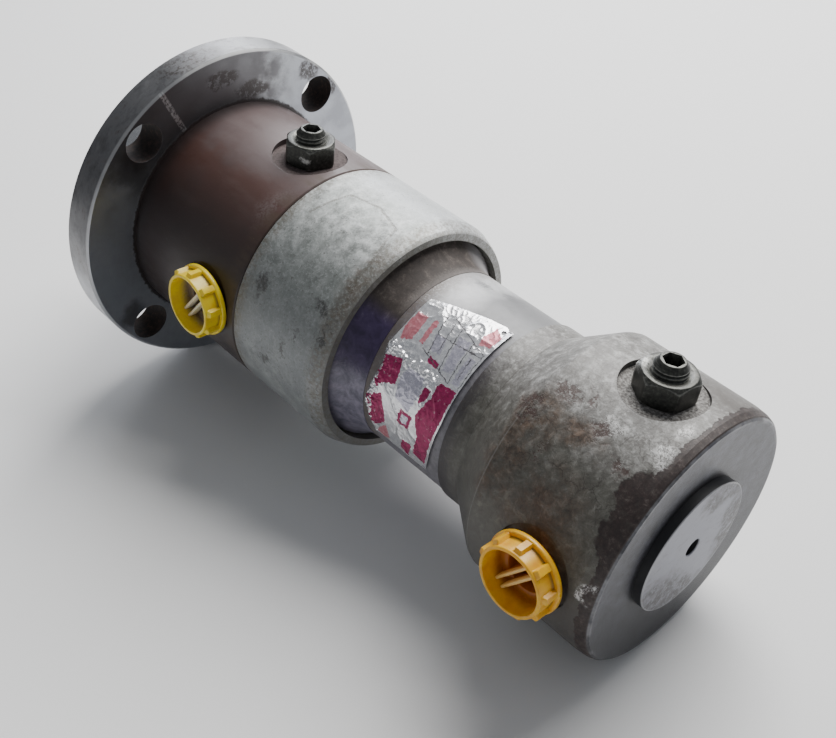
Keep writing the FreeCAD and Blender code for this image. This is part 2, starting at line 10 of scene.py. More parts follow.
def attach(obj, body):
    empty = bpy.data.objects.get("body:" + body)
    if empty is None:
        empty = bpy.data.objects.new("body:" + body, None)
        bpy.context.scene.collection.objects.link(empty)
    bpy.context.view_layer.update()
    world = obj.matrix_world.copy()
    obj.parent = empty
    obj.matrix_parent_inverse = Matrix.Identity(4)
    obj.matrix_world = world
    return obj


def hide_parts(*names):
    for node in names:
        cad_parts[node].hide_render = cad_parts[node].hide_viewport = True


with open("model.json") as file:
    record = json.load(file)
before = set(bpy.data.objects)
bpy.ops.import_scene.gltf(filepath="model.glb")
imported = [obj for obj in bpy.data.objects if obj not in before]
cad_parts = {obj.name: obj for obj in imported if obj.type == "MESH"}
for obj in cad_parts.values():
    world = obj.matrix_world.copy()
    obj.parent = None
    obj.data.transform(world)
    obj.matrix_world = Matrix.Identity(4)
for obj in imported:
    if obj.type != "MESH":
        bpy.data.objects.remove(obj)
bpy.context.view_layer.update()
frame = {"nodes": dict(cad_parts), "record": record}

random.seed(7)
MM = 0.001

# ---------------------------------------------------------------- layout ---
FRONT_X = 64.6
REAR_X = 240.9
BARREL_R = 37.2
NUT_BOTTOM = 47.75
NUT_TOP = 57.0
SCREW_TOP = 61.2
SCREW_R = 6.0
FRONT_CAP_LEVEL = 50.0
REAR_CAP_LEVEL = 51.9


def at(x, deg, radius):
    """Point on the body in millimetres; deg runs from +Z towards -Y."""
    a = math.radians(deg)
    return (x, -radius * math.sin(a), radius * math.cos(a))


# ---------------------------------------------------------------- camera ---
CAMERA_PLACE = (0.373632, -0.2672, 0.268912)
CAMERA_RIGHT = Vector((0.67547171, 0.72930165, 0.10889015))
CAMERA_DOWN = Vector((0.51356788, -0.35932263, -0.77918886))
CAMERA_FORWARD = Vector((-0.52913703, 0.58224252, -0.61725817))
SENSOR_WIDTH = 36.0
LENS = 49.527
LENS_SHIFT = (0.01482, -0.00231)
CLIP_START = 0.01


def place_camera():
    cam = bpy.data.objects.new("camera", bpy.data.cameras.new("camera"))
    bpy.context.scene.collection.objects.link(cam)
    rot = Matrix((CAMERA_RIGHT, -CAMERA_DOWN, -CAMERA_FORWARD)).transposed().to_4x4()
    cam.matrix_world = Matrix.Translation(CAMERA_PLACE) @ rot
    cam.data.sensor_width = SENSOR_WIDTH
    cam.data.lens = LENS
    cam.data.shift_x, cam.data.shift_y = LENS_SHIFT
    cam.data.clip_start = CLIP_START
    bpy.context.scene.camera = cam


# ----------------------------------------------------------- floor, light ---
REST_TILT = math.radians(5.36)
REST_ROLL = math.radians(3.8)
FLANGE_R = 73
FLANGE_EDGE_X = 14
FLOOR_GAP = 0.0003
FLOOR_HALF = 3.0
FLOOR_CENTRE_X = 0.13
LIGHT_TARGET = (0.12, 0, 0)
SKY_COLOR = (0.9, 0.94, 1.0, 1)
SKY_STRENGTH = 0.3


def floor_normal():
    """Up direction of the floor; the part lies on its flange rim and its rear head."""
    up = Vector((0, -math.sin(REST_ROLL), math.cos(REST_ROLL)))
    return (up * math.cos(REST_TILT) - Vector((1, 0, 0)) * math.sin(REST_TILT)).normalized()


def make_floor():
    normal = floor_normal()
    drop = (FLANGE_EDGE_X * math.sin(REST_TILT) + FLANGE_R * math.cos(REST_TILT)) * MM + FLOOR_GAP
    bm = bmesh.new()
    bmesh.ops.create_grid(bm, x_segments=8, y_segments=8, size=FLOOR_HALF)
    mesh = bpy.data.meshes.new("floor")
    bm.to_mesh(mesh)
    bm.free()
    floor = bpy.data.objects.new("floor", mesh)
    bpy.context.scene.collection.objects.link(floor)
    floor.rotation_mode = "QUATERNION"
    floor.rotation_quaternion = normal.to_track_quat("Z", "Y")
    floor.location = Vector((FLOOR_CENTRE_X, 0, 0)) - normal * (drop + normal.x * FLOOR_CENTRE_X)
    g = Graph("floor_paper")
    tone = g.ramp(g.grain(4.0, 2), [(0.3, (0.8, 0.8, 0.8)), (0.7, (0.84, 0.84, 0.84))])
    g.finish(tone, 0.9)
    mesh.materials.append(g.mat)


def add_area(name, location, size, power, color):
    """Rectangular lamp aimed at the middle of the part."""
    data = bpy.data.lights.new(name, "AREA")
    data.shape = "RECTANGLE"
    data.size, data.size_y = size
    data.energy = power
    data.color = color
    lamp = bpy.data.objects.new(name, data)
    bpy.context.scene.collection.objects.link(lamp)
    lamp.location = location
    aim = Vector(LIGHT_TARGET) - Vector(location)
    lamp.rotation_mode = "QUATERNION"
    lamp.rotation_quaternion = aim.to_track_quat("-Z", "Y")


def make_lights():
    world = bpy.data.worlds.new("studio")
    world.use_nodes = True
    back = world.node_tree.nodes["Background"]
    back.inputs["Color"].default_value = SKY_COLOR
    back.inputs["Strength"].default_value = SKY_STRENGTH
    bpy.context.scene.world = world
    add_area("overhead", (-0.1, 0.62, 1.00), (0.9, 0.9), 30.0, (1.0, 0.99, 0.97))
    add_area("window", (-0.75, 0.7, 0.55), (0.8, 0.6), 7.0, (0.92, 0.95, 1.0))


# ------------------------------------------------------- material graphs ---
# Far-side angles run back up to FOLD_TOP underneath, so angle-based wear and painted shade have no seam
# there.
FOLD_TOP = 120.0
FOLD_OFFSET = -214.3
FOLD_SLOPE = 1.857


class Graph:
    """Builds one procedural material; positions inside it are in millimetres."""

    def __init__(self, name):
        self.mat = bpy.data.materials.new(name)
        self.mat.use_nodes = True
        self.nodes = self.mat.node_tree.nodes
        self.links = self.mat.node_tree.links
        self.nodes.clear()
        self.out = self.nodes.new("ShaderNodeOutputMaterial")
        self.shader = self.nodes.new("ShaderNodeBsdfPrincipled")
        self.links.new(self.shader.outputs[0], self.out.inputs[0])
        coords = self.nodes.new("ShaderNodeTexCoord")
        scaled = self.nodes.new("ShaderNodeVectorMath")
        scaled.operation = "SCALE"
        scaled.inputs["Scale"].default_value = 1 / MM
        self.links.new(coords.outputs["Object"], scaled.inputs[0])
        self.pos = scaled.outputs[0]
        split = self.nodes.new("ShaderNodeSeparateXYZ")
        self.links.new(self.pos, split.inputs[0])
        self.x, self.y, self.z = split.outputs
        self._angle = None
        self._turn = None
        self._radius = None

    def put(self, socket, value):
        """Link a socket, or set it when the value is a constant."""
        if isinstance(value, bpy.types.NodeSocket):
            self.links.new(value, socket)
        elif isinstance(value, (tuple, list)):
            if len(value) == 3 and len(socket.default_value) == 4:
                value = (*value, 1.0)
            socket.default_value = value
        else:
            socket.default_value = value

    def math(self, op, a, b=None, clamp=False):
        node = self.nodes.new("ShaderNodeMath")
        node.operation = op
        node.use_clamp = clamp
        self.put(node.inputs[0], a)
        if b is not None:
            self.put(node.inputs[1], b)
        return node.outputs[0]

    def vec(self, x, y, z):
        node = self.nodes.new("ShaderNodeCombineXYZ")
        for socket, value in zip(node.inputs, (x, y, z)):
            self.put(socket, value)
        return node.outputs[0]

    def vmath(self, op, a, b=None, scale=None):
        node = self.nodes.new("ShaderNodeVectorMath")
        node.operation = op
        self.put(node.inputs[0], a)
        if b is not None:
            self.put(node.inputs[1], b)
        if scale is not None:
            self.put(node.inputs["Scale"], scale)
        return node.outputs["Value"] if op in ("LENGTH", "DISTANCE", "DOT_PRODUCT") else node.outputs[0]

    @property
    def turn(self):
        """Degrees from +Z towards -Y, -180 to 180."""
        if self._turn is None:
            rad = self.math("ARCTAN2", self.math("MULTIPLY", self.y, -1.0), self.z)
            self._turn = self.math("MULTIPLY", rad, 180 / math.pi)
        return self._turn

    @property
    def angle(self):
        """The turn, folded beyond -75 degrees so that the two sides meet alike underneath."""
        if self._angle is None:
            mirrored = self.math("SUBTRACT", FOLD_OFFSET, self.math("MULTIPLY", self.turn, FOLD_SLOPE))
            self._angle = self.math("MINIMUM", self.math("MAXIMUM", self.turn, mirrored), FOLD_TOP)
        return self._angle

    @property
    def radius(self):
        if self._radius is None:
            self._radius = self.vmath("LENGTH", self.vec(0.0, self.y, self.z))
        return self._radius

    def noise(self, vector, scale, detail=4.0, rough=0.55, distort=0.0, color=False):
        node = self.nodes.new("ShaderNodeTexNoise")
        self.put(node.inputs["Vector"], vector)
        self.put(node.inputs["Scale"], scale)
        self.put(node.inputs["Detail"], float(detail))
        self.put(node.inputs["Roughness"], rough)
        self.put(node.inputs["Distortion"], distort)
        return node.outputs["Color"] if color else node.outputs["Fac"]

    def cells(self, vector, scale, feature="F1"):
        node = self.nodes.new("ShaderNodeTexVoronoi")
        node.feature = feature
        self.put(node.inputs["Vector"], vector)
        self.put(node.inputs["Scale"], scale)
        self.put(node.inputs["Randomness"], 1.0)
        return node.outputs["Distance"]

    def ramp(self, fac, stops):
        """Colour ramp through (position, colour) stops."""
        node = self.nodes.new("ShaderNodeValToRGB")
        node.color_ramp.interpolation = "LINEAR"
        elements = node.color_ramp.elements
        while len(elements) > 1:
            elements.remove(elements[-1])
        for i, (place, color) in enumerate(stops):
            element = elements[0] if i == 0 else elements.new(place)
            element.position = place
            element.color = (*color, 1.0)
        self.put(node.inputs[0], fac)
        return node.outputs[0]

    def span(self, value, a, b, c=0.0, d=1.0, smooth=False):
        """Map a..b to c..d, held at both ends."""
        node = self.nodes.new("ShaderNodeMapRange")
        node.interpolation_type = "SMOOTHSTEP" if smooth else "LINEAR"
        node.clamp = True
        for key, v in zip(("Value", "From Min", "From Max", "To Min", "To Max"), (value, a, b, c, d)):
            self.put(node.inputs[key], v)
        return node.outputs[0]

    def ease(self, value, a, b, c=0.0, d=1.0):
        """A span with soft ends."""
        return self.span(value, a, b, c, d, smooth=True)

    def add(self, a, b):
        return self.math("ADD", a, b)

    def sub(self, a, b):
        return self.math("SUBTRACT", a, b)

    def stray(self, noise_value, amount):
        """The angle, moved by a noise value to make a border uneven."""
        return self.add(self.angle, self.times(self.sub(noise_value, 0.5), amount))

    def grain(self, *settings):
        return self.noise(self.pos, *settings)

    def gap(self, a, b):
        return self.vmath("DISTANCE", a, b)

    def lay(self, under, over, *masks):
        """One colour over another, as far as the product of the masks."""
        return self.mix(self.times(*masks), under, over)

    def mix(self, fac, a, b):
        """Colour a towards colour b."""
        node = self.nodes.new("ShaderNodeMix")
        node.data_type = "RGBA"
        node.blend_type = "MIX"
        self.put(node.inputs[0], fac)
        self.put(node.inputs[6], a)
        self.put(node.inputs[7], b)
        return node.outputs[2]

    def blend(self, fac, a, b):
        """Number a towards number b."""
        node = self.nodes.new("ShaderNodeMix")
        node.data_type = "FLOAT"
        self.put(node.inputs[0], fac)
        self.put(node.inputs[2], a)
        self.put(node.inputs[3], b)
        return node.outputs[0]

    def wobble(self, amount, scale):
        """Position in mm, pushed about by noise, for ragged edges."""
        n = self.noise(self.pos, scale, 3, color=True)
        shift = self.vmath("SCALE", self.vmath("SUBTRACT", n, (0.5, 0.5, 0.5)), scale=amount * 2)
        return self.vmath("ADD", self.pos, shift)

    def patch(self, centre, radii, where=None, inner=0.6):
        """1 inside an ellipsoid about centre (mm), fading to 0 at its edge."""
        where = self.pos if where is None else where
        rel = self.vmath("SUBTRACT", where, centre)
        rel = self.vmath("DIVIDE", rel, radii)
        return self.ease(self.vmath("LENGTH", rel), 1.0, inner, 0.0, 1.0)

    def unrolled(self, radius):
        """Surface position as (x, arc length) in mm on a cylinder of that radius."""
        return self.vec(self.x, self.math("MULTIPLY", self.turn, math.radians(radius)), 0.0)

    def stroke(self, where, start, end, width):
        """1 on a thin line between two points of the unrolled surface."""
        sx, sy = start
        dx, dy = end[0] - sx, end[1] - sy
        rel = self.vmath("SUBTRACT", where, (sx, sy, 0.0))
        along = self.vmath("DOT_PRODUCT", rel, (dx, dy, 0.0))
        along = self.math("DIVIDE", along, dx * dx + dy * dy, clamp=True)
        foot = self.vmath("SCALE", (dx, dy, 0.0), scale=along)
        gap = self.vmath("LENGTH", self.vmath("SUBTRACT", rel, foot))
        return self.ease(gap, width, width * 0.4)

    def band(self, value, low, high, soft):
        """1 between low and high, fading over soft on either side."""
        return self.math("MULTIPLY", self.ease(value, low - soft, low + soft),
                         self.ease(value, high + soft, high - soft))

    def times(self, *values):
        result = values[0]
        for value in values[1:]:
            result = self.math("MULTIPLY", result, value)
        return result

    def segment(self, where, start, end, width):
        """1 near the straight line between two points in space (mm)."""
        start, end = Vector(start), Vector(end)
        run = end - start
        rel = self.vmath("SUBTRACT", where, tuple(start))
        along = self.vmath("DOT_PRODUCT", rel, tuple(run))
        along = self.math("DIVIDE", along, run.length_squared, clamp=True)
        foot = self.vmath("SCALE", tuple(run), scale=along)
        gap = self.vmath("LENGTH", self.vmath("SUBTRACT", rel, foot))
        return self.ease(gap, width, width * 0.3)

    def most(self, *values):
        result = values[0]
        for value in values[1:]:
            result = self.math("MAXIMUM", result, value)
        return result

    def finish(self, color, rough, metal=0.0, bump=None, strength=0.3, distance=0.0003, **sockets):
        self.put(self.shader.inputs["Base Color"], color)
        self.put(self.shader.inputs["Roughness"], rough)
        self.put(self.shader.inputs["Metallic"], metal)
        for key, value in sockets.items():
            self.put(self.shader.inputs[key.replace("_", " ")], value)
        if bump is not None:
            node = self.nodes.new("ShaderNodeBump")
            node.inputs["Strength"].default_value = strength
            node.inputs["Distance"].default_value = distance
            self.put(node.inputs["Height"], bump)
            self.links.new(node.outputs[0], self.shader.inputs["Normal"])
        return self.mat


# ------------------------------------------------------------- materials ---
def front_head_material():
    g = Graph("front_head_primer_and_steel")
    fine = g.grain(1.1, 6, 0.65)
    broad = g.grain(0.05, 4, 0.6)
    smear = g.noise(g.vmath("MULTIPLY", g.pos, (0.35, 1.0, 1.0)), 0.16, 4, 0.6)
    primer = g.ramp(broad, [(0.3, (0.04, 0.019, 0.015)), (0.52, (0.066, 0.031, 0.025)),
                            (0.75, (0.088, 0.046, 0.04))])
    primer = g.mix(g.span(smear, 0.5, 0.75, 0, 0.35), primer, (0.1, 0.065, 0.06))
    dusty = g.times(g.patch(at(77, 34, 50), (9, 14, 10), g.wobble(7.0, 0.12), 0.1), g.span(fine, 0.38, 0.58))
    shading_angle = g.stray(broad, 40.0)
    # painted highlight: the primer turns pale mauve-grey towards the top; painted shade: it turns near-black
    # down the side
    primer = g.mix(g.ease(shading_angle, 36.0, 10.0, 0, 0.8), primer, (0.118, 0.09, 0.09))
    primer = g.mix(g.ease(shading_angle, 30.0, 64.0, 0, 0.84), primer, (0.017, 0.011, 0.01))
    primer = g.lay(primer, (0.15, 0.125, 0.125), dusty, 0.5)
    specks = g.span(g.grain(2.1, 2, 0.6), 0.73, 0.77)
    primer = g.lay(primer, (0.35, 0.3, 0.22), specks, 0.4)
    edge_dirt = g.band(g.x, 77.5, 86.0, 3.5)
    primer = g.lay(primer, (0.06, 0.038, 0.024), edge_dirt, g.span(smear, 0.4, 0.6), 0.6)
    # painted shade: the primer darkens towards its junction with the flange
    foot = g.ease(g.x, 24.0, 15.5)
    primer = g.lay(primer, (0.02, 0.016, 0.016), foot, 0.75)
    # turned steel of the flange
    turning = g.noise(g.vec(g.times(g.radius, 2.2), g.times(g.x, 2.2), 0.0), 1.0, 4, 0.7)
    steel = g.ramp(turning, [(0.25, (0.33, 0.345, 0.365)), (0.75, (0.43, 0.445, 0.47))])
    cloud = g.span(g.grain(0.075, 5, 0.65), 0.42, 0.62)
    steel = g.lay(steel, (0.24, 0.235, 0.235), cloud, 0.5)
    # painted reflection on the turned face: a dark bluish sector to the left, a dark band over the top and a
    # bright bluish sector to the upper right
    painted_low_left_shade = g.ease(g.angle, 20.0, 80.0)
    steel = g.lay(steel, (0.24, 0.255, 0.3), painted_low_left_shade, 0.55)
    painted_dark_sector = g.band(g.stray(cloud, 9.0), -19.0, 62.0, 9.0)
    steel = g.lay(steel, (0.12, 0.116, 0.122), painted_dark_sector, 0.85)
    painted_bright_sector = g.span(g.angle, -16.0, -40.0)
    steel = g.lay(steel, (0.36, 0.375, 0.43), painted_bright_sector, 0.5)
    rag = g.grain(0.5, 5, 0.7)
    ragged = g.wobble(5.0, 0.15)
    stain = g.most(
        g.patch((15, -7, 63), (5, 10, 5), ragged), g.patch((15, 9, 55), (5, 11, 5), ragged),
        g.patch((15, 40, 57), (5, 8, 5), ragged), g.patch((15, 52, 47), (5, 7, 6), ragged))
    steel = g.lay(steel, (0.06, 0.05, 0.048), stain, g.span(rag, 0.42, 0.5), 0.85)
    # painted reflection: dark patches on the left part of the flange face
    painted_dark_left_patches = g.most(g.patch((15, -48, 40), (8, 12, 12), ragged, 0.3),
                     g.patch((15, -52, -38), (8, 10, 10), ragged, 0.3))
    steel = g.lay(steel, (0.05, 0.042, 0.04), painted_dark_left_patches, 0.7)
    face = g.vec(0.0, g.y, g.z)
    rear_side = g.span(g.x, 13.0, 14.0)
    scratch = g.most(*[g.segment(face, (0, -36.4 + d, 63.1), (0, -24.5 + d, 42.5), 0.9) for d in (0.0, 1.3)])
    steel = g.lay(steel, (0.75, 0.75, 0.76), scratch, rear_side, g.span(fine, 0.4, 0.55), 0.7)
    # weathered outer rim
    on_rim = g.times(g.span(g.radius, 71.6, 72.4), g.span(g.x, 14.6, 14.0))
    rim_noise = g.noise(g.vmath("MULTIPLY", g.pos, (1.0, 0.6, 0.6)), 0.2, 7, 0.78)
    rust = g.times(g.span(rim_noise, 0.52, 0.66), g.span(broad, 0.4, 0.58, 0.25, 1.0))
    rim = g.ramp(rim_noise, [(0.3, (0.13, 0.13, 0.135)), (0.5, (0.21, 0.21, 0.215)),
            (0.7, (0.3, 0.3, 0.31))])
    # painted shade down the rim's side, painted highlights on the rim underneath and on top
    rim = g.mix(g.band(g.angle, 40.0, 84.0, 20.0), rim, g.ramp(rim_noise, [
        (0.3, (0.075, 0.072, 0.072)), (0.5, (0.125, 0.124, 0.13)), (0.7, (0.22, 0.22, 0.23))]))
    rim = g.mix(g.ease(g.angle, 92.0, 110.0, 0, 0.7), rim, (0.44, 0.45, 0.48))
    rim = g.mix(g.ease(g.angle, 16.0, -8.0, 0, 0.6), rim, (0.42, 0.42, 0.43))
    rim = g.lay(rim, (0.07, 0.058, 0.052), rust, 0.8)
    crust = g.times(g.patch(at(8, 18, 73), (10, 26, 12), g.wobble(5.0, 0.3), 0.2),
                    g.span(g.grain(0.45, 6, 0.75), 0.5, 0.56))
    rim = g.lay(rim, (0.075, 0.06, 0.052), crust, 0.75)
    steel = g.mix(on_rim, steel, rim)
    chamfer = g.times(g.span(g.radius, 71.7, 72.1), g.span(g.x, 13.9, 14.3))
    steel = g.lay(steel, (0.52, 0.52, 0.52), chamfer, 0.5)
    # walls of the four bolt holes
    hole = None
    for sy in (-1, 1):
        for sz in (-1, 1):
            gap = g.gap(face, (0.0, sy * 44.19, sz * 44.19))
            wall = g.span(gap, 9.0, 8.55)
            hole = wall if hole is None else g.math("MAXIMUM", hole, wall)
    in_wall = g.times(hole, g.span(g.x, 14.95, 14.7))
    rusty = g.ramp(rag, [(0.35, (0.012, 0.01, 0.01)), (0.55, (0.032, 0.02, 0.017)),
            (0.75, (0.095, 0.052, 0.042))])
    steel = g.mix(in_wall, steel, rusty)
    edge = g.sub(g.radius, g.times(g.sub(rag, 0.5), 3.0))
    on_body = g.times(g.span(edge, 51.8, 51.0), rear_side)
    color = g.mix(on_body, steel, primer)
    seat_gap = g.gap(g.vec(g.x, g.y, 0.0), (FRONT_X, 0.0, 0.0))
    seat = g.times(g.span(seat_gap, 14.9, 14.7), g.span(g.z, 49.0, 47.9), g.span(g.z, 40.0, 44.0))
    seat_wall_shade = g.times(g.band(seat_gap, 14.95, 15.1, 0.08), g.span(g.z, 40.0, 44.0))
    seat_tone = g.ramp(fine, [(0.38, (0.045, 0.032, 0.03)), (0.6, (0.105, 0.08, 0.078))])
    color = g.lay(color, seat_tone, seat, 0.9)
    # painted shade on the wall of the screw's spot face
    color = g.lay(color, (0.02, 0.015, 0.015), seat_wall_shade, 0.8)
    metal = g.times(g.sub(1.0, g.most(on_body, in_wall)),
                   g.sub(0.85, g.times(stain, 0.5)))
    rough = g.blend(on_body, g.span(cloud, 0, 1, 0.3, 0.46), g.span(smear, 0.3, 0.7, 0.34, 0.52))
    rough = g.blend(g.most(seat, in_wall), rough, 0.85)
    bump = g.add(g.times(fine, 0.6), g.times(turning, 0.5))
    return g.finish(color, rough, metal, bump, 0.22, 0.00022)


def collar_material():
    g = Graph("collar_galvanised")
    broad = g.grain(0.06, 5, 0.62)
    plates = g.cells(g.wobble(1.5, 0.4), 0.21, "F1")
    mottle = g.grain(0.22, 6, 0.66, 0.5)
    fine = g.grain(1.5, 6, 0.72)
    blend = g.add(g.add(g.times(mottle, 0.55), g.times(plates, 0.22)), g.times(fine, 0.22))
    base = g.ramp(blend, [(0.36, (0.2, 0.21, 0.2)), (0.5, (0.37, 0.385, 0.375)), (0.64, (0.6, 0.615, 0.61))])
    base = g.mix(g.span(broad, 0.4, 0.62, 0, 0.4), base, (0.33, 0.36, 0.335))
    # painted shade down the side of the collar
    shade = g.band(g.stray(broad, 40.0), 34.0, 84.0, 16.0)
    base = g.lay(base, (0.105, 0.116, 0.108), shade, 0.62)
    lit = g.ease(g.angle, 4.0, -12.0)
    base = g.lay(base, (0.66, 0.68, 0.7), lit, 0.6)
    # painted shade underneath the collar
    low = g.ease(g.angle, 45.0, 85.0)
    base = g.lay(base, (0.155, 0.165, 0.172), low, g.span(broad, 0.3, 0.6, 0.4, 0.8))
    ragged = g.wobble(4.0, 0.25)
    split = g.nodes.new("ShaderNodeSeparateXYZ")
    g.put(split.inputs[0], ragged)
    rx = split.outputs[0]
    flat = g.unrolled(50.0)
    arc = math.radians(50.0)
    grit = g.span(g.grain(0.6, 6, 0.75), 0.42, 0.56)
    dirt = g.times(g.most(g.span(rx, 90.0, 84.5), g.times(g.span(rx, 126.5, 130.5), 0.9)), grit)
    base = g.lay(base, (0.135, 0.11, 0.08), dirt, 0.7)
    lip_rust = g.times(g.band(rx, 127.0, 134.5, 3.0), g.band(g.angle, 18.0, 60.0, 14.0),
                       g.span(mottle, 0.36, 0.6))
    base = g.lay(base, (0.105, 0.08, 0.06), lip_rust, 0.8)
    torn = g.wobble(6.0, 0.5)
    blot = g.most(g.patch(at(124.5, 56, 50), (5.0, 4, 4), torn, 0.3),
                  g.patch(at(130, 68, 49), (1.8, 5, 7), torn, 0.3),
                  g.patch(at(94, 64, 50), (4, 8, 9), torn, 0.2),
                  g.patch(at(103, 96, 50), (4, 3, 4), torn, 0.2),
                  g.patch(at(113, 84, 50), (1.6, 4, 6), torn, 0.2),
                  g.patch(at(118, 74, 50), (1.2, 3, 4), torn, 0.2))
    base = g.lay(base, (0.06, 0.058, 0.056), blot, g.span(mottle, 0.34, 0.48, 0.3, 0.9))
    flecks = g.times(g.span(g.grain(0.55, 5, 0.7), 0.6, 0.64), g.span(g.angle, 20.0, 60.0, 0.3, 1.0))
    base = g.lay(base, (0.1, 0.1, 0.095), flecks, 0.55)
    corners = [(92.2, 26.0), (97.0, 7.6), (110.4, 4.3), (124.3, 9.5), (129.3, 28.6), (130.2, 43.0)]
    outline = g.most(*[g.stroke(flat, (a[0], a[1] * arc), (b[0], b[1] * arc), 0.8)
                       for a, b in zip(corners, corners[1:])])
    base = g.lay(base, (0.13, 0.12, 0.1), outline, g.span(fine, 0.38, 0.5), 0.7)
    bright = g.times(g.band(g.x, 97.0, 128.0, 1.0), g.band(g.angle, 6.0, 30.0, 2.0),
            g.span(mottle, 0.5, 0.6))
    base = g.lay(base, (0.66, 0.68, 0.67), bright, 0.4)
    specks = g.span(g.grain(1.1, 3, 0.6), 0.62, 0.68)
    base = g.lay(base, (0.11, 0.105, 0.095), specks, 0.7)
    crystals = g.span(g.grain(0.8, 6, 0.85), 0.5, 0.6)
    base = g.lay(base, (0.72, 0.74, 0.74), crystals, g.span(g.angle, 70.0, 20.0, 0.1, 0.35))
    lip_face = g.span(g.x, 133.6, 134.2)
    base = g.lay(base, (0.17, 0.165, 0.15), lip_face, g.span(fine, 0.35, 0.6, 0.2, 0.8))
    # inside of the lip, and the hub that curves down to the barrel
    inside = g.times(g.span(g.radius, 44.75, 44.4), g.span(g.x, 126.0, 128.0))
    brown = g.ramp(g.add(g.times(mottle, 0.6), g.times(fine, 0.4)),
                   [(0.34, (0.022, 0.017, 0.015)), (0.52, (0.052, 0.04, 0.034)),
                    (0.66, (0.13, 0.108, 0.096))])
    pale = g.ease(g.add(g.angle, g.times(broad, 20.0)), -16.0, -40.0)
    hub = g.mix(g.times(pale, 0.7), brown, (0.34, 0.33, 0.34))
    fade = g.times(g.ease(g.add(g.x, g.times(fine, 7.0)), 144.5, 149.5), 0.5)
    hub = g.lay(hub, (0.2, 0.18, 0.17), fade, g.span(g.angle, 40.0, 24.0))
    # painted shade with a purple cast down the hub's side, and painted bounce light, a paler lilac,
    # underneath
    purple_side_shade = g.ramp(mottle, [(0.35, (0.026, 0.016, 0.05)), (0.6, (0.055, 0.036, 0.095)),
            (0.75, (0.14, 0.12, 0.19))])
    hub = g.mix(g.ease(g.angle, 36.0, 48.0), hub, purple_side_shade)
    lilac_underside_light = g.ramp(mottle, [(0.35, (0.1, 0.095, 0.135)), (0.65, (0.26, 0.24, 0.31))])
    hub = g.mix(g.ease(g.add(g.angle, g.times(fine, 10.0)), 78.0, 90.0), hub, lilac_underside_light)
    lip_wall = g.span(g.radius, 43.6, 44.2)
    hub = g.mix(lip_wall, hub, (0.1, 0.095, 0.075))
    base = g.mix(inside, base, hub)
    hub_rough = g.span(g.angle, 24.0, 44.0, 0.72, 0.4)
    rough = g.blend(inside, g.span(mottle, 0.3, 0.7, 0.34, 0.55), hub_rough)
    metal = g.blend(inside, 0.3, 0.05)
    bump = g.sub(g.add(g.times(mottle, 0.5), g.times(fine, 0.5)), g.times(outline, 0.5))
    return g.finish(base, rough, metal, bump, 0.3, 0.0003)


def barrel_material():
    g = Graph("barrel_pale_and_rusty")
    broad = g.grain(0.09, 5, 0.65)
    mottle = g.grain(0.35, 6, 0.72, 0.5)
    fine = g.grain(1.5, 5, 0.7)
    pale = g.ramp(mottle, [(0.3, (0.4, 0.4, 0.41)), (0.7, (0.6, 0.6, 0.61))])
    pale = g.mix(g.span(g.add(g.x, g.times(broad, 10.0)), 163.0, 172.0, 0, 0.9), pale, (0.17, 0.17, 0.175))
    # painted shade: a darker purple-grey down the side of the barrel
    dark = g.ramp(mottle, [(0.3, (0.12, 0.115, 0.13)), (0.7, (0.26, 0.25, 0.27))])
    side = g.ease(g.add(g.angle, g.times(broad, 24.0)), 26.0, 40.0)
    color = g.mix(side, pale, dark)
    rust = g.ramp(fine, [(0.3, (0.045, 0.033, 0.027)), (0.7, (0.16, 0.13, 0.11))])
    edge_x = g.add(g.x, g.times(mottle, 9.0))
    near_hub = g.times(g.ease(edge_x, 160.0, 151.0), g.span(g.angle, -12.0, 6.0, 0.55, 1.0))
    color = g.lay(color, rust, near_hub, g.span(fine, 0.3, 0.5), 0.85)
    torn = g.wobble(4.0, 0.4)
    spots = g.most(g.patch(at(155, -14, 37), (5.5, 3, 3), torn, 0.3),
                   g.patch(at(167, -20, 37), (7, 4, 4), torn, 0.3),
                   g.patch(at(172, -8, 37), (4, 3, 3), torn, 0.3))
    color = g.lay(color, (0.16, 0.16, 0.165), spots, g.span(fine, 0.34, 0.5), 0.8)
    rough = g.span(mottle, 0.3, 0.7, 0.38, 0.55)
    bump = g.add(g.times(mottle, 0.6), g.times(fine, 0.5))
    return g.finish(color, rough, 0.15, bump, 0.3, 0.0003)


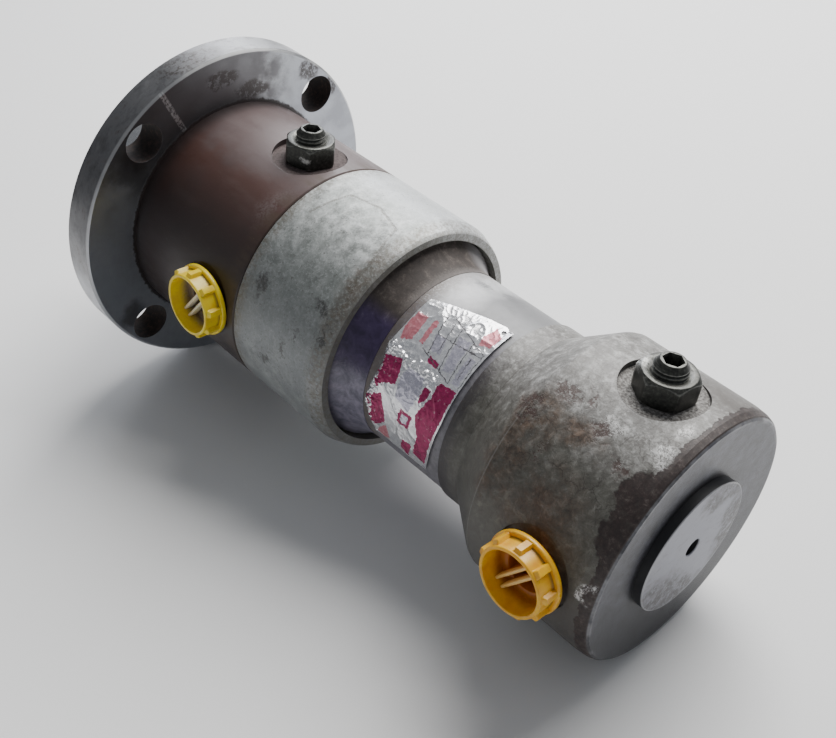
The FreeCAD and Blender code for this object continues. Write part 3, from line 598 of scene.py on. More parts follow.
def rear_head_material():
    g = Graph("rear_head_worn_paint")
    broad = g.grain(0.06, 5, 0.62)
    mottle = g.grain(0.28, 6, 0.7, 0.5)
    fine = g.grain(1.4, 6, 0.72)
    paint = g.ramp(g.add(g.times(mottle, 0.65), g.times(fine, 0.35)),
                   [(0.36, (0.085, 0.08, 0.074)), (0.5, (0.215, 0.21, 0.2)), (0.62, (0.46, 0.455, 0.445))])
    far_side = g.times(g.span(g.angle, -4.0, -14.0), g.span(g.x, 236.0, 250.0))
    paint = g.lay(paint, (0.1, 0.09, 0.082), far_side, 0.75)
    ragged = g.wobble(7.0, 0.14)
    # painted shade: a darker olive-grey tone down the side of the rear head
    olive = g.ramp(mottle, [(0.3, (0.055, 0.053, 0.044)), (0.55, (0.105, 0.102, 0.085)),
            (0.8, (0.22, 0.215, 0.19))])
    shade = g.ease(g.stray(broad, 50.0), 20.0, 52.0)
    color = g.mix(g.times(shade, 0.9), paint, olive)
    brown = g.ramp(mottle, [(0.3, (0.03, 0.019, 0.013)), (0.52, (0.095, 0.058, 0.038)),
            (0.75, (0.24, 0.17, 0.125))])
    warm = g.most(
        g.patch(at(219, 40, 50), (13, 15, 14), ragged, 0.3),
        g.patch(at(217, 62, 48), (13, 18, 20), ragged, 0.3),
        g.patch(at(238, 68, 50), (20, 22, 22), ragged, 0.3),
        g.patch(at(234, 36, 50), (12, 10, 9), ragged, 0.3))
    warm = g.times(warm, g.span(g.grain(0.12, 6, 0.75), 0.36, 0.6))
    color = g.lay(color, brown, warm, 0.9)
    # painted shade underneath the rear head, deeper near the rim
    underside_shade = g.span(g.stray(mottle, 30.0), 84.0, 100.0)
    color = g.lay(color, (0.075, 0.072, 0.072), underside_shade, 0.55)
    rim_underside_shade = g.times(g.span(g.angle, 78.0, 90.0), g.span(g.x, 246.0, 254.0))
    color = g.lay(color, (0.045, 0.038, 0.034), rim_underside_shade, 0.5)
    # painted shadow cast by the raised edge of the nameplate
    label_shadow = g.times(g.ease(g.add(g.x, g.times(mottle, 6.0)), 197.0, 190.0),
                       g.span(g.angle, 18.0, 36.0))
    color = g.lay(color, (0.04, 0.034, 0.042), label_shadow, 0.8)
    # circumferential tool marks on the neck and the cone
    turning = g.noise(g.vec(g.times(g.x, 1.6), 0.0, 0.0), 1.0, 4, 0.7)
    neck = g.span(g.x, 214.0, 209.0)
    color = g.lay(color, (0.1, 0.085, 0.07), neck, g.span(turning, 0.5, 0.62), 0.55)
    for mark in (196.0, 206.0, 213.0):
        color = g.mix(g.times(g.band(g.x, mark - 0.15, mark + 0.15, 0.2), 0.5), color,
                      (0.26, 0.25, 0.24) if mark > 210 else (0.08, 0.07, 0.06))
    # bare, rusty band next to the rim, with a torn edge and a large lost patch
    tear = g.times(g.sub(g.grain(0.2, 5, 0.7), 0.5), 7.0)
    bare = g.span(g.add(g.x, tear), 260.6, 260.9)
    tear_patch = g.wobble(3.0, 0.3)
    lost = g.most(g.patch(at(258.5, 42, 50), (6.0, 9, 8), tear_patch, 0.8),
                  g.patch(at(260.5, 57, 50), (5.2, 9, 10), tear_patch, 0.8))
    bare = g.most(bare, lost)
    rusty = g.ramp(g.grain(0.5, 6, 0.72), [(0.32, (0.014, 0.009, 0.009)), (0.55, (0.036, 0.023, 0.021)),
                                                  (0.72, (0.1, 0.078, 0.07))])
    color = g.mix(bare, color, rusty)
    flakes = g.most(g.patch(at(257, 25, 50), (4.5, 6, 4), ragged, 0.3),
                    g.patch(at(257.5, 12, 50), (4, 7, 4), ragged, 0.3),
                    g.patch(at(262, 82, 49), (2.5, 6, 6), ragged, 0.3),
                    g.patch(at(240, 27, 50), (7, 5, 4), ragged, 0.3))
    flakes = g.times(flakes, g.span(g.grain(0.7, 8, 0.9), 0.49, 0.53))
    color = g.lay(color, (0.86, 0.85, 0.84), flakes, 0.95)
    chip_shape = g.span(g.grain(0.5, 4, 0.7), 0.47, 0.5)
    chips = g.most(*[g.patch(at(*place), size, ragged, 0.5) for place, size in (
        ((219, 26.7, 50), (7, 5, 4)), ((238, 31.5, 50), (7, 5, 4)), ((250, 36, 50), (6, 4, 4)),
        ((228, 22, 50), (3, 3, 3)), ((214, 38, 50), (5, 6, 5)), ((226, 50, 50), (4, 4, 4)))])
    chips = g.times(chips, chip_shape)
    color = g.lay(color, (0.06, 0.03, 0.025), chips, 0.8)
    pits = g.span(g.grain(0.9, 6, 0.8), 0.57, 0.64)
    color = g.lay(color, (0.055, 0.043, 0.037), pits, 0.65)
    grime = g.span(g.grain(0.35, 8, 0.85), 0.5, 0.6)
    color = g.lay(color, (0.07, 0.06, 0.052), grime, 0.45)
    scuffs = g.times(g.span(g.grain(0.5, 8, 0.9), 0.58, 0.63), g.span(g.angle, 60.0, 20.0, 0.08, 0.6))
    scuffs = g.times(scuffs, g.span(bare, 0.0, 1.0, 1.0, 0.15))
    color = g.mix(scuffs, color, (0.62, 0.61, 0.6))
    cracks = g.cells(g.wobble(3.0, 0.3), 0.13, "DISTANCE_TO_EDGE")
    crack = g.times(g.span(cracks, 0.03, 0.012), g.band(g.angle, 14.0, 62.0, 8.0), g.span(broad, 0.42, 0.55))
    color = g.lay(color, (0.03, 0.022, 0.019), crack, 0.5)
    # spot faces
    seat_gap = g.gap(g.vec(g.x, g.y, 0.0), (REAR_X, 0.0, 0.0))
    above = g.span(g.z, 40.0, 44.0)
    seat = g.times(g.span(seat_gap, 14.9, 14.7), g.span(g.z, 49.5, 48.0), above)
    grain = g.ramp(g.grain(1.0, 5, 0.7), [(0.36, (0.045, 0.04, 0.037)), (0.5, (0.17, 0.16, 0.15)),
                                                 (0.7, (0.42, 0.41, 0.39))])
    color = g.mix(seat, color, grain)
    # painted shade on the wall of the screw's spot face
    color = g.lay(color, (0.025, 0.022, 0.02), g.band(seat_gap, 14.9, 15.1, 0.12), above, 0.85)
    # slate end face
    face = g.span(g.sub(g.x, g.times(g.radius, 0.165)), 256.6, 256.9)
    slate = g.ramp(g.grain(0.13, 7, 0.72), [(0.36, (0.036, 0.036, 0.042)), (0.64, (0.088, 0.09, 0.108))])
    slate = g.mix(g.span(g.grain(0.45, 8, 0.8), 0.5, 0.62, 0, 0.7), slate, (0.026, 0.022, 0.022))
    # painted shade: the end face darker towards the bottom
    slate = g.mix(g.span(g.z, 6.0, -24.0, 0, 0.65), slate, (0.018, 0.018, 0.019))
    # painted shade around the foot of the boss
    slate = g.mix(g.ease(g.radius, 30.0, 26.2, 0, 0.75), slate, (0.014, 0.014, 0.016))
    # worn paint at the face's outer edge, laid also as a painted highlight along that edge
    worn = g.times(g.span(g.radius, 46.6, 47.5), g.span(g.grain(0.09, 5, 0.7), 0.42, 0.6))
    slate = g.lay(slate, (0.34, 0.34, 0.35), worn, 0.45)
    color = g.mix(face, color, slate)
    rough = g.blend(face, g.span(mottle, 0.3, 0.7, 0.42, 0.62), 0.38)
    rough = g.blend(seat, rough, 0.75)
    metal = g.blend(face, 0.12, 0.35)
    height = g.sub(g.times(fine, 0.5), g.times(g.most(bare, chips), 0.9))
    return g.finish(color, rough, metal, height, 0.4, 0.0004)


def end_plug_material():
    g = Graph("end_plug_stained_steel")
    turning = g.noise(g.vec(g.times(g.radius, 2.5), g.x, 0.0), 1.0, 4, 0.7)
    cloud = g.grain(0.1, 5, 0.65)
    color = g.ramp(turning, [(0.2, (0.19, 0.193, 0.22)), (0.8, (0.25, 0.255, 0.285))])
    ragged = g.wobble(6.0, 0.15)
    dirty = g.most(g.patch((268, -17, -16), (12, 19, 14), ragged, 0.6),
                   g.patch((268, 10, 21), (12, 16, 9), ragged, 0.6),
                   g.patch((268, 21, -2), (12, 8, 22), ragged, 0.5),
                   g.patch((268, 2, -21), (12, 12, 6), ragged, 0.5))
    soiled = g.times(dirty, g.span(g.grain(0.34, 8, 0.85), 0.42, 0.52))
    color = g.lay(color, (0.036, 0.031, 0.03), soiled, 0.9)
    streak = g.span(g.noise(g.vmath("MULTIPLY", g.pos, (1, 0.6, 1.4)), 0.3, 7, 0.75), 0.54, 0.66)
    color = g.lay(color, (0.13, 0.115, 0.115), streak, 0.6)
    color = g.mix(g.span(cloud, 0.45, 0.7, 0, 0.4), color, (0.36, 0.36, 0.4))
    # painted shade on the side wall of the boss
    wall = g.span(g.x, 267.75, 267.5)
    color = g.mix(wall, color, (0.028, 0.028, 0.031))
    rim = g.times(g.span(g.radius, 25.3, 25.6), g.span(g.x, 267.6, 267.8))
    color = g.lay(color, (0.5, 0.5, 0.5), rim, 0.5)
    rough = g.span(cloud, 0.3, 0.7, 0.36, 0.5)
    metal = g.times(g.blend(wall, 0.7, 0.1), g.span(soiled, 0.0, 1.0, 1.0, 0.3))
    return g.finish(color, rough, metal, turning, 0.12, 0.0002)


def black_oxide_material():
    g = Graph("black_oxide")
    n = g.grain(0.9, 5, 0.7)
    color = g.ramp(n, [(0.35, (0.016, 0.016, 0.015)), (0.55, (0.04, 0.041, 0.036)),
            (0.8, (0.12, 0.12, 0.105))])
    geometry = g.nodes.new("ShaderNodeNewGeometry")
    edge = g.span(geometry.outputs["Pointiness"], 0.515, 0.56)
    worn = g.times(edge, g.span(n, 0.32, 0.55, 0.3, 1.0), g.span(g.z, 60.9, 60.4, 0.25, 1.0))
    color = g.lay(color, (0.4, 0.4, 0.37), worn, 0.8)
    # painted highlights on the upper bevels of the two nuts
    painted_nut_highlights = g.most(g.patch((REAR_X - 8.0, -3.0, 55.5), (4.0, 5.0, 3.0), g.wobble(2.0, 0.6), 0.3),
                    g.patch((FRONT_X + 6.0, -7.0, 52.0), (3.0, 3.0, 2.0), g.wobble(2.0, 0.6), 0.3))
    color = g.lay(color, (0.55, 0.55, 0.53), painted_nut_highlights, g.span(n, 0.4, 0.52, 0.1, 0.9))
    rough = g.span(n, 0.3, 0.7, 0.28, 0.46)
    return g.finish(color, rough, 0.55, n, 0.25, 0.0002)


def plastic_material(name, x, level, light, deep, well, web_tone):
    g = Graph(name)
    n = g.grain(0.25, 3, 0.5)
    fine = g.grain(1.1, 5, 0.7)
    color = g.mix(g.span(n, 0.35, 0.7, 0, 0.7), light, deep)
    dust = g.span(fine, 0.6, 0.72)
    color = g.lay(color, (0.3, 0.19, 0.05), dust, 0.35)
    gap = g.gap(g.vec(g.x, 0.0, g.z), (x, 0.0, 0.0))
    depth = g.add(g.times(g.y, -1.0), -level)
    inside = g.span(gap, 11.7, 11.5)
    # painted shade: the cap's well darkens with depth
    painted_well_shade = g.ease(g.add(depth, g.times(fine, 3.0)), 7.0, 1.0)
    color = g.lay(color, well, inside, painted_well_shade)
    c, d = math.cos(WEB_TURN), math.sin(WEB_TURN)
    across = g.math("ABSOLUTE", g.vmath("DOT_PRODUCT", g.vmath("SUBTRACT", g.pos, (x, 0.0, 0.0)),
            (-d, 0.0, c)))
    on_web = g.times(g.band(across, 1.05, 2.35, 0.05), g.span(gap, 11.2, 11.0), g.span(depth, 0.9, 1.3))
    color = g.lay(color, web_tone, on_web, 0.85)
    # painted shade in the crease where the ribbed wall meets the flange
    groove = g.times(g.span(gap, 13.3, 12.9), g.span(gap, 12.4, 12.6), g.span(depth, 3.4, 2.2))
    color = g.lay(color, (0.16, 0.1, 0.015), groove, 0.7)
    return g.finish(color, g.span(n, 0.3, 0.7, 0.26, 0.38), 0.0, fine, 0.08, 0.0002,
                    Subsurface_Weight=0.15, Subsurface_Radius=(0.004, 0.002, 0.0005), Subsurface_Scale=1.0)


def foil_set():
    """Bare foil first, then its four printed tones."""
    tones = (("foil_bare", (0.62, 0.62, 0.65), (0.96, 0.96, 0.97), 0.75, 0.22),
             ("foil_magenta", (0.22, 0.006, 0.06), (0.42, 0.024, 0.13), 0.35, 0.32),
             ("foil_faded_pink", (0.46, 0.12, 0.15), (0.66, 0.28, 0.32), 0.35, 0.32),
             ("foil_lilac_grey", (0.42, 0.41, 0.49), (0.66, 0.64, 0.73), 0.6, 0.26),
             ("foil_dark_line", (0.05, 0.05, 0.055), (0.16, 0.15, 0.16), 0.3, 0.4))
    made = []
    for name, dark, light, metal, rough in tones:
        g = Graph(name)
        n = g.grain(0.7, 5, 0.7)
        color = g.ramp(n, [(0.32, dark), (0.68, light)])
        scuffed = g.span(g.grain(0.55, 6, 0.75), 0.6, 0.66)
        color = g.lay(color, (0.7, 0.7, 0.72), scuffed, 0.6)
        made.append(g.finish(color, g.span(n, 0.3, 0.7, rough * 0.8, rough * 1.2), metal, n, 0.15, 0.0002))
    return made


def plain_metal(name, dark, light, rough, metal, scale=0.5):
    g = Graph(name)
    n = g.grain(scale, 5, 0.65)
    lines = g.noise(g.vec(g.times(g.x, 3.0), g.radius, 0.0), 1.0, 3, 0.6)
    color = g.ramp(g.times(g.add(n, lines), 0.5), [(0.3, dark), (0.7, light)])
    return g.finish(color, g.span(n, 0.3, 0.7, rough * 0.8, rough * 1.2), metal, lines, 0.15, 0.0002)


def dress_cad_nodes():
    shared = {
        "black_oxide": black_oxide_material(),
        "rubber": plain_metal("nitrile_rubber", (0.015, 0.015, 0.015), (0.035, 0.035, 0.035), 0.6, 0.0),
        "bronze": plain_metal("bearing_bronze", (0.35, 0.2, 0.08), (0.55, 0.36, 0.16), 0.35, 0.9),
        "ground": plain_metal("ground_steel", (0.42, 0.42, 0.43), (0.56, 0.56, 0.57), 0.25, 0.95),
        "spline": plain_metal("hardened_steel", (0.24, 0.24, 0.25), (0.36, 0.36, 0.37), 0.35, 0.9),
        "band": plain_metal("filled_ptfe", (0.22, 0.15, 0.08), (0.34, 0.25, 0.14), 0.5, 0.0),
    }
    own = {
        "front_head": front_head_material(),
        "collar": collar_material(),
        "barrel": barrel_material(),
        "rear_head": rear_head_material(),
        "end_plug": end_plug_material(),
    }
    by_slot = {"rubber_black": "rubber", "bronze": "bronze", "ground_steel": "ground",
               "spline_steel": "spline", "ptfe": "band", "black_oxide": "black_oxide"}
    slot_of = {row["node"]: row["material_slot"] for row in frame["record"]["subparts"]}
    for name, obj in frame["nodes"].items():
        material = own.get(name) or shared.get(by_slot.get(slot_of[name], ""))
        if material is None:
            continue
        obj.data.materials.clear()
        obj.data.materials.append(material)
    return shared


# ---------------------------------------------------------- mesh helpers ---
def add_piece(name, bm, material, body, node, smooth_deg=35):
    mesh = bpy.data.meshes.new(name)
    bmesh.ops.recalc_face_normals(bm, faces=bm.faces)
    bm.to_mesh(mesh)
    bm.free()
    mesh.materials.append(material)
    for poly in mesh.polygons:
        poly.use_smooth = True
    mesh.set_sharp_from_angle(angle=math.radians(smooth_deg))
    piece = bpy.data.objects.new(name, mesh)
    bpy.context.scene.collection.objects.link(piece)
    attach(piece, body)
    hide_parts(node)
    return piece


def loop_mesh(rings, close_start=True, close_end=True):
    """Skin between rings of points (mm); every ring has the same count."""
    bm = bmesh.new()
    rows = [[bm.verts.new([c * MM for c in p]) for p in points] for points in rings]
    count = len(rows[0])
    for low, high in zip(rows, rows[1:]):
        for i in range(count):
            j = (i + 1) % count
            bm.faces.new((low[i], low[j], high[j], high[i]))
    if close_start:
        bm.faces.new(rows[0][::-1])
    if close_end:
        bm.faces.new(rows[-1])
    return bm


def hex_radius(flats, a):
    """Distance from centre to a hexagon's side at angle a (radians)."""
    k = a % (math.pi / 3) - math.pi / 6
    return flats / 2 / math.cos(k)


def constant(r):
    return lambda a: r


def around(x, steps, radius_of):
    """One turn of points about x, as (across, along), the radius following the angle."""
    turns = [2 * math.pi * i / steps for i in range(steps)]
    return [(x + radius_of(a) * math.cos(a), radius_of(a) * math.sin(a)) for a in turns]


def smooth_min(a, b, k):
    """The smaller of two values, with the corner rounded over k."""
    h = max(k - abs(a - b), 0) / k
    return min(a, b) - h * h * k / 4


THREAD_PITCH = 1.75
THREAD_DEPTH = 0.75
CONE_HEIGHT = 2.3
TIP_R = 4.25
SOCKET_FLATS = 6.0
SHANK = ((35.5, 0.9), (36.7, 1.7), (39.5, 1.7), (40.7, 3.2), (43.4, 3.2))


def make_screw(name, node, body, x, turn):
    """Needle point, real thread, coned tip and hexagon socket, from the inside out."""
    steps = 72
    cone_start = SCREW_TOP - CONE_HEIGHT
    cone_r = SCREW_R + 0.1

    def ring_at(z_level, radius_of):
        return [(px, py, z_level) for px, py in around(x, steps, radius_of)]

    def thread(z_level):
        def radius_of(a):
            phase = (z_level / THREAD_PITCH - a / (2 * math.pi)) % 1.0
            ridge = 0.5 + 0.5 * math.cos(2 * math.pi * phase)
            r = SCREW_R - THREAD_DEPTH * (1 - ridge) ** 1.4
            cone = cone_r - (cone_r - TIP_R) * max(0.0, (z_level - cone_start) / CONE_HEIGHT)
            return smooth_min(r, cone, 0.3)
        return radius_of

    def socket(grow):
        return lambda a: hex_radius(SOCKET_FLATS + grow, a + turn)

    rings = [ring_at(level, constant(r)) for level, r in SHANK]
    z = 44.5
    while z < SCREW_TOP - 0.1:
        rings.append(ring_at(z, thread(z)))
        z += 0.16
    rings += [ring_at(SCREW_TOP - 0.05, constant(TIP_R)), ring_at(SCREW_TOP, constant(TIP_R - 0.1)),
              ring_at(SCREW_TOP - 0.02, socket(0.5)), ring_at(SCREW_TOP - 0.3, socket(0.1)),
              ring_at(SCREW_TOP - 6.5, socket(0.0)), ring_at(SCREW_TOP - 7.6, constant(1.0))]
    return add_piece(name, loop_mesh(rings), MATS["black_oxide"], body, node, 50)


NUT_FLATS = 19.0
NUT_LEVELS = (0.0, 0.08, 0.2, 0.4, 0.6, 0.85, 1.2, 1.6, 2.4, 4.6, 6.4, 7.0, 7.4, 7.7,
              8.0, 8.3, 8.55, 8.75, 8.95, 9.08, 9.15)
NUT_FACES = ((8.6, NUT_TOP - 0.01), (7.9, NUT_TOP), (7.3, NUT_TOP - 0.12),
             (6.08, NUT_TOP - 1.0), (6.08, NUT_BOTTOM + 0.6), (6.7, NUT_BOTTOM))


def make_nut(name, node, body, x, turn_deg):
    """Hexagon with rounded corners, chamfers, a washer face and an open bore."""
    steps = 240
    turn = math.radians(turn_deg)

    def outer(a, z):
        r = hex_radius(NUT_FLATS, a - turn)
        corner = NUT_FLATS / math.sqrt(3)
        r = smooth_min(r, corner - 0.25, 0.5)
        from_top = NUT_TOP - z
        from_base = z - NUT_BOTTOM
        r = smooth_min(r, NUT_FLATS / 2 - 0.5 + from_top * 1.25, 0.35)
        return smooth_min(r, NUT_FLATS / 2 + 0.1 + from_base * 1.75, 0.3)

    rings = []
    for level in NUT_LEVELS:
        z = NUT_BOTTOM + level
        rings.append([(px, py, z) for px, py in around(x, steps, lambda a, z=z: outer(a, z))])
    rings += [[(px, py, z) for px, py in around(x, steps, constant(r))] for r, z in NUT_FACES]
    bm = loop_mesh(rings, False, False)
    bm.verts.ensure_lookup_table()
    base = [bm.verts[i] for i in range(steps)]
    last = [bm.verts[len(bm.verts) - steps + i] for i in range(steps)]
    for i in range(steps):
        j = (i + 1) % steps
        bm.faces.new((last[i], last[j], base[j], base[i]))
    return add_piece(name, bm, MATS["black_oxide"], body, node, 40)


RIB_COUNT = 9
RIB_R = 13.5
RIB_HALF = 1.75
RIB_EDGE = 0.7
RIB_HEIGHT = 1.55
CAP_HEIGHT = 8.6
CAP_WALL_R = 12.75
CAP_PLUG_R = 9.2
CAP_BORE_R = 7.5
PLUG_PITCH = 1.8
# Rings of a plug as (height, radius): the flange and the well above its level, the rim above its top.
CAP_FLANGE = ((-0.3, 9.1), (0.0, 9.6), (0.0, 14.3), (0.15, 14.6), (0.5, 14.75), (1.5, 14.75),
              (1.85, 14.6), (2.0, 14.3))
CAP_RIM = ((-0.4, 12.72), (-0.12, 12.6), (0.0, 12.35), (0.0, 11.8), (-0.12, 11.52), (-0.4, 11.4))
CAP_WELL = ((0.9, 11.25), (0.3, 10.9), (0.2, 10.2), (0.2, 7.9), (-0.1, 7.6))
WEB_TURN = math.radians(53)


def make_cap(name, node, body, x, level, material, rib_turn):
    """Screw plug with a flange, grip ribs and a well crossed by two webs."""
    steps = 360
    top = level + CAP_HEIGHT

    def soft_step(v):
        v = min(1.0, max(0.0, v))
        return v * v * (3 - 2 * v)

    def outer(a, u):
        pitch = 2 * math.pi / RIB_COUNT
        k = ((a - rib_turn) / pitch + 0.5) % 1.0 - 0.5
        across = abs(k) * pitch * RIB_R
        rib = soft_step((RIB_HALF - across) / RIB_EDGE)
        rise = soft_step((top - 0.9 - u) / 0.6)
        return CAP_WALL_R + RIB_HEIGHT * rib * rise

    def ring(u, radius_of):
        return [(px, -u, pz) for px, pz in around(x, steps, radius_of)]

    rings = [ring(38.7, constant(8.3)), ring(38.5, constant(8.8)), ring(38.9, constant(CAP_PLUG_R))]
    u = 40.0
    while u < level - 1.2:
        groove = 0.35 * (0.5 - 0.5 * math.cos(2 * math.pi * u / PLUG_PITCH))
        rings.append(ring(u, constant(CAP_PLUG_R - groove)))
        u += 0.3
    rings += [ring(level + du, constant(r)) for du, r in CAP_FLANGE]
    for du in (2.0, 2.15, 2.6):
        rings.append(ring(level + du, lambda a, d=du: min(14.3, outer(a, level + d) + 0.35 * (2.6 - d))))
    u = level + 3.2
    while u < top - 0.45:
        rings.append(ring(u, lambda a, uu=u: outer(a, uu)))
        u += 0.35
    rings += [ring(top + du, constant(r)) for du, r in CAP_RIM]
    rings += [ring(level + du, constant(r)) for du, r in CAP_WELL]
    rings += [ring(40.9, constant(CAP_BORE_R)), ring(40.5, constant(7.0))]
    bm = loop_mesh(rings, False, True)
    bm.verts.ensure_lookup_table()
    bm.faces.new([bm.verts[i] for i in range(steps)])
    for side in (-1, 1):
        add_web(bm, x, level, side * WEB_OFFSET)
    return add_piece(name, bm, material, body, node, 50)


WEB_OFFSET = 1.7
WEB_HALF = 0.6
WEB_HEIGHT = 4.2
WEB_LOW = 41.0
WEB_REACH = 11.3


def add_web(bm, x, level, offset):
    """Flat rib across the inside of a cap, with a rounded top edge."""
    top = level + WEB_HEIGHT
    section = [(-WEB_HALF, WEB_LOW), (WEB_HALF, WEB_LOW), (WEB_HALF, top - 0.4),
               (WEB_HALF * 0.6, top - 0.08), (0, top), (-WEB_HALF * 0.6, top - 0.08),
               (-WEB_HALF, top - 0.4)]
    c, d = math.cos(WEB_TURN), math.sin(WEB_TURN)
    rows = []
    for s in (-1, 1):
        row = []
        for t, u in section:
            limit = WEB_REACH if u > level + 0.5 else CAP_BORE_R
            p = Vector((s * math.sqrt(limit ** 2 - offset ** 2), offset + t))
            row.append(bm.verts.new(((x + p.x * c - p.y * d) * MM, -u * MM, (p.x * d + p.y * c) * MM)))
        rows.append(row)
    n = len(section)
    for i in range(n):
        j = (i + 1) % n
        bm.faces.new((rows[0][i], rows[0][j], rows[1][j], rows[1][i]))
    bm.faces.new(rows[0][::-1])
    bm.faces.new(rows[1])


# The plate's outline and print, as (x mm, degrees from +Z towards -Y).
PLATE_LEFT = [(0, 149.6), (36, 149.6), (50, 148.4), (62, 150.4), (76, 148.7), (92, 146.8), (97, 149.0),
              (112, 152.5)]
PLATE_RIGHT = [(0, 183.4), (37, 183.9), (57, 183.8), (75, 183.6), (99, 181.6), (112, 179.5)]
PLATE_TOP = [(149, 20.0), (158.8, 14.6), (172.2, 8.5), (184, 5.0)]
PLATE_BOTTOM = 112.0
PLATE_WIDTH = 33
PLATE_LENGTH = 62
PLATE_HOLE = (180.6, 11.2)
PLATE_HOLE_R = 0.9
FOIL_THICKNESS = 0.12
LINE_HALF_WIDTH = 0.17
MM_PER_DEGREE = 0.65
MAGENTA, PINK, GREY, LINE = 1, 2, 3, 4
PRINT = [
    (GREY, [(161.5, 57), (169, 57), (170.5, 66), (168, 80), (161, 76), (160, 64)]),
    (GREY, [(162.0, 34), (167.0, 33), (168.9, 42), (164.6, 43.3)]),
    (GREY, [(170.0, 28), (175.6, 27), (177.0, 47), (173.2, 48)]),
    (GREY, [(178.6, 34), (181.6, 34), (182.2, 51), (178.9, 51)]),
    (PINK, [(150.5, 30), (155.3, 29), (155.8, 38.5), (155.8, 44), (151.5, 48), (150, 40)]),
    (PINK, [(158.2, 27.7), (160.0, 28.5), (160.8, 43.3), (158.6, 42.8)]),
    (PINK, [(177.5, 11), (182.3, 15), (182.0, 23.6), (177.8, 26.1), (176.8, 21)]),
    (MAGENTA, [(166.4, 46.0), (171.2, 46.4), (171.1, 49.6), (166.3, 49.1)]),
    (MAGENTA, [(175.5, 54), (183.1, 53), (182.8, 72), (180.4, 97), (179, 106), (173.2, 104), (174.8, 90),
               (171.6, 78), (175, 64)]),
    (MAGENTA, [(148.9, 60), (157.3, 55.3), (158.6, 61.6), (159, 70.6), (154.8, 72.6), (151.4, 78),
               (148.9, 72)]),
    (MAGENTA, [(147.6, 87), (154.4, 80), (157.4, 90), (158.3, 97), (152.6, 105), (149.6, 96)]),
    (PINK, [(153.2, 109), (158.8, 98.4), (160.7, 108), (157, 111.5)]),
    (MAGENTA, [(164.6, 80.5), (170.6, 80.5), (170.2, 89.5), (164.2, 89.5)]),
    (MAGENTA, [(167.9, 99), (172.4, 99), (170.4, 109.4), (166.3, 107.7)]),
    (MAGENTA, [(170.6, 61), (174.0, 60.5), (173.2, 68), (170.9, 71)]),
    (GREY, [(165.9, 82.6), (169.1, 82.6), (168.9, 87.3), (165.7, 87.3)]),
]
PLATE_LINES = [((160.8, 22), (164.6, 45)), ((168.6, 22), (172.2, 48.6)), ((176.4, 27), (177.9, 52)),
               ((161.4, 44.5), (177.9, 52.0)), ((163.2, 34.0), (182.6, 31.0)), ((182.6, 29), (182.9, 52)),
               ((163.0, 20.5), (182.0, 29.0)), ((179.8, 35), (180.2, 47)), ((165.4, 24), (167.6, 41))]


def along(table, value):
    """Straight-line lookup in a table of (value, result) rows."""
    for (v0, r0), (v1, r1) in zip(table, table[1:]):
        if value <= v1:
            return r0 + (r1 - r0) * max(0.0, (value - v0) / (v1 - v0))
    return table[-1][1]


def inside(point, polygon):
    x, y = point
    odd = False
    for (x0, y0), (x1, y1) in zip(polygon, polygon[1:] + polygon[:1]):
        if (y0 > y) != (y1 > y) and x < x0 + (x1 - x0) * (y - y0) / (y1 - y0):
            odd = not odd
    return odd


def near_line(point, line, width):
    (x0, y0), (x1, y1) = line
    dx, dy = x1 - x0, (y1 - y0) * MM_PER_DEGREE
    px, py = point[0] - x0, (point[1] - y0) * MM_PER_DEGREE
    t = min(1.0, max(0.0, (px * dx + py * dy) / (dx * dx + dy * dy)))
    return math.hypot(px - t * dx, py - t * dy) < width


def print_tone(x, deg):
    """Index of the plate's material at one spot."""
    jitter = noise.noise(Vector((x * 0.9, deg * 0.6, 3.0)))
    spot = (x + jitter * 0.5, deg + jitter * 0.8)
    crumple = plate_crumple(x, deg)
    if crumple > 0.55 and noise.noise(Vector((x * 0.7, deg * 0.5, 9.0))) > -0.05:
        return 0
    if any(near_line(spot, line, LINE_HALF_WIDTH) for line in PLATE_LINES):
        return LINE
    tone = 0
    for index, polygon in PRINT:
        if inside(spot, polygon):
            tone = index
    return tone


def plate_crumple(x, deg):
    """0..1: how badly the foil is crushed here."""
    band = max(0.0, 1 - abs(deg - 52.5 - (x - 149) * 0.1) / 5.5) * min(1.0, max(0.0, (179 - x) / 6))
    left = max(0.0, 1 - abs(x - 150) / 5.0) * min(1.0, max(0.0, (deg - 50) / 12))
    return min(1.0, band + left * 0.7)


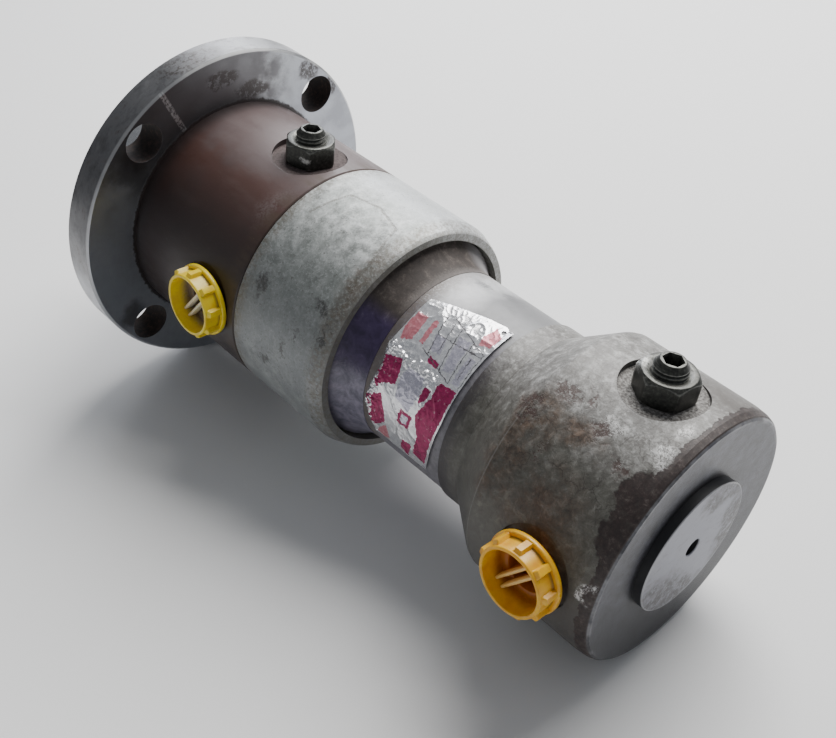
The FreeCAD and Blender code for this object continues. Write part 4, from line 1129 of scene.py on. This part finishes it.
def make_nameplate():
    """Crumpled foil on the barrel; each face takes the tone printed there."""
    nx, na = 150, 290
    arc = math.radians(BARREL_R)
    bm = bmesh.new()
    grid = []
    for i in range(nx + 1):
        row = []
        for j in range(na + 1):
            fu, fv = i / nx, j / na
            guess = 14 + 98 * fv
            x = along(PLATE_LEFT, guess) * (1 - fu) + along(PLATE_RIGHT, guess) * fu
            top = along(PLATE_TOP, x)
            deg = top + (PLATE_BOTTOM - top) * fv
            # round the two right-hand corners by pulling the grid inwards
            for edge_v, pull in ((0.0, 1.0), (1.0, -1.0)):
                near_v = abs(fv - edge_v) * na / nx * 1.9
                corner = max(0.0, 0.12 - (1 - fu)) * max(0.0, 0.12 - near_v) / 0.0144
                deg += pull * corner * 4.0
                x -= corner * 1.3
            spot = Vector((x * 0.15, deg * arc * 0.15, 1.7))
            crush = plate_crumple(x, deg)
            ridge = max(0.0, 1 - abs(noise.noise(spot)) * 2.2)
            fold = max(0.0, 1 - abs(noise.noise(spot * 3.2 + Vector((5, 2, 0)))) * 2.4)
            sharp = max(0.0, 1 - abs(noise.noise(spot * 7.0 + Vector((1, 8, 3)))) * 2.0)
            lift = 0.1 + 0.3 * ridge ** 3 + 0.1 * fold ** 2
            lift += crush * (0.75 * fold ** 2 + 0.4 * sharp + 0.35)
            border = min(fu * PLATE_WIDTH, (1 - fu) * PLATE_WIDTH,
                         fv * PLATE_LENGTH, (1 - fv) * PLATE_LENGTH)
            lift *= min(1.0, 0.35 + border / 2.0)
            curl = 0.7 * max(0.0, 1 - (1 - fu) * PLATE_WIDTH / 2.5) ** 2
            px, py, pz = at(x, deg, BARREL_R + 0.12 + lift + curl)
            row.append((bm.verts.new((px * MM, py * MM, pz * MM)), x, deg))
        grid.append(row)
    for i in range(nx):
        for j in range(na):
            quad = (grid[i][j], grid[i + 1][j], grid[i + 1][j + 1], grid[i][j + 1])
            x = sum(c[1] for c in quad) / 4
            deg = sum(c[2] for c in quad) / 4
            if math.hypot(x - PLATE_HOLE[0], (deg - PLATE_HOLE[1]) * arc) < PLATE_HOLE_R:
                continue
            face = bm.faces.new([c[0] for c in quad])
            face.material_index = print_tone(x, deg)
    bare, *printed = foil_set()
    piece = add_piece("nameplate_foil", bm, bare, "housing", "nameplate", 60)
    for material in printed:
        piece.data.materials.append(material)
    thick = piece.modifiers.new("thickness", "SOLIDIFY")
    thick.thickness = FOIL_THICKNESS * MM
    thick.offset = 0.0


# ------------------------------------------------------------------ build ---
place_camera()
make_floor()
make_lights()
MATS = dress_cad_nodes()
lemon = plastic_material("lemon_polyethylene", FRONT_X, FRONT_CAP_LEVEL, (0.86, 0.66, 0.02),
        (0.7, 0.46, 0.01),
                         (0.2, 0.15, 0.13), (0.8, 0.74, 0.6))
amber = plastic_material("amber_polyethylene", REAR_X, REAR_CAP_LEVEL, (0.84, 0.47, 0.012),
        (0.64, 0.27, 0.006),
                         (0.46, 0.15, 0.012), (0.86, 0.58, 0.22))
make_screw("front_screw_threaded", "front_adjusting_screw", "front_screw", FRONT_X, 0.3)
make_screw("rear_screw_threaded", "rear_adjusting_screw", "rear_screw", REAR_X, 0.6)
make_nut("front_nut_rounded", "front_lock_nut", "front_nut", FRONT_X, 19.0)
make_nut("rear_nut_rounded", "rear_lock_nut", "rear_nut", REAR_X, 24.0)
make_cap("front_cap_moulded", "front_port_cap", "front_cap", FRONT_X, FRONT_CAP_LEVEL, lemon,
         0.2)
make_cap("rear_cap_moulded", "rear_port_cap", "rear_cap", REAR_X, REAR_CAP_LEVEL, amber, 0.2)
make_nameplate()
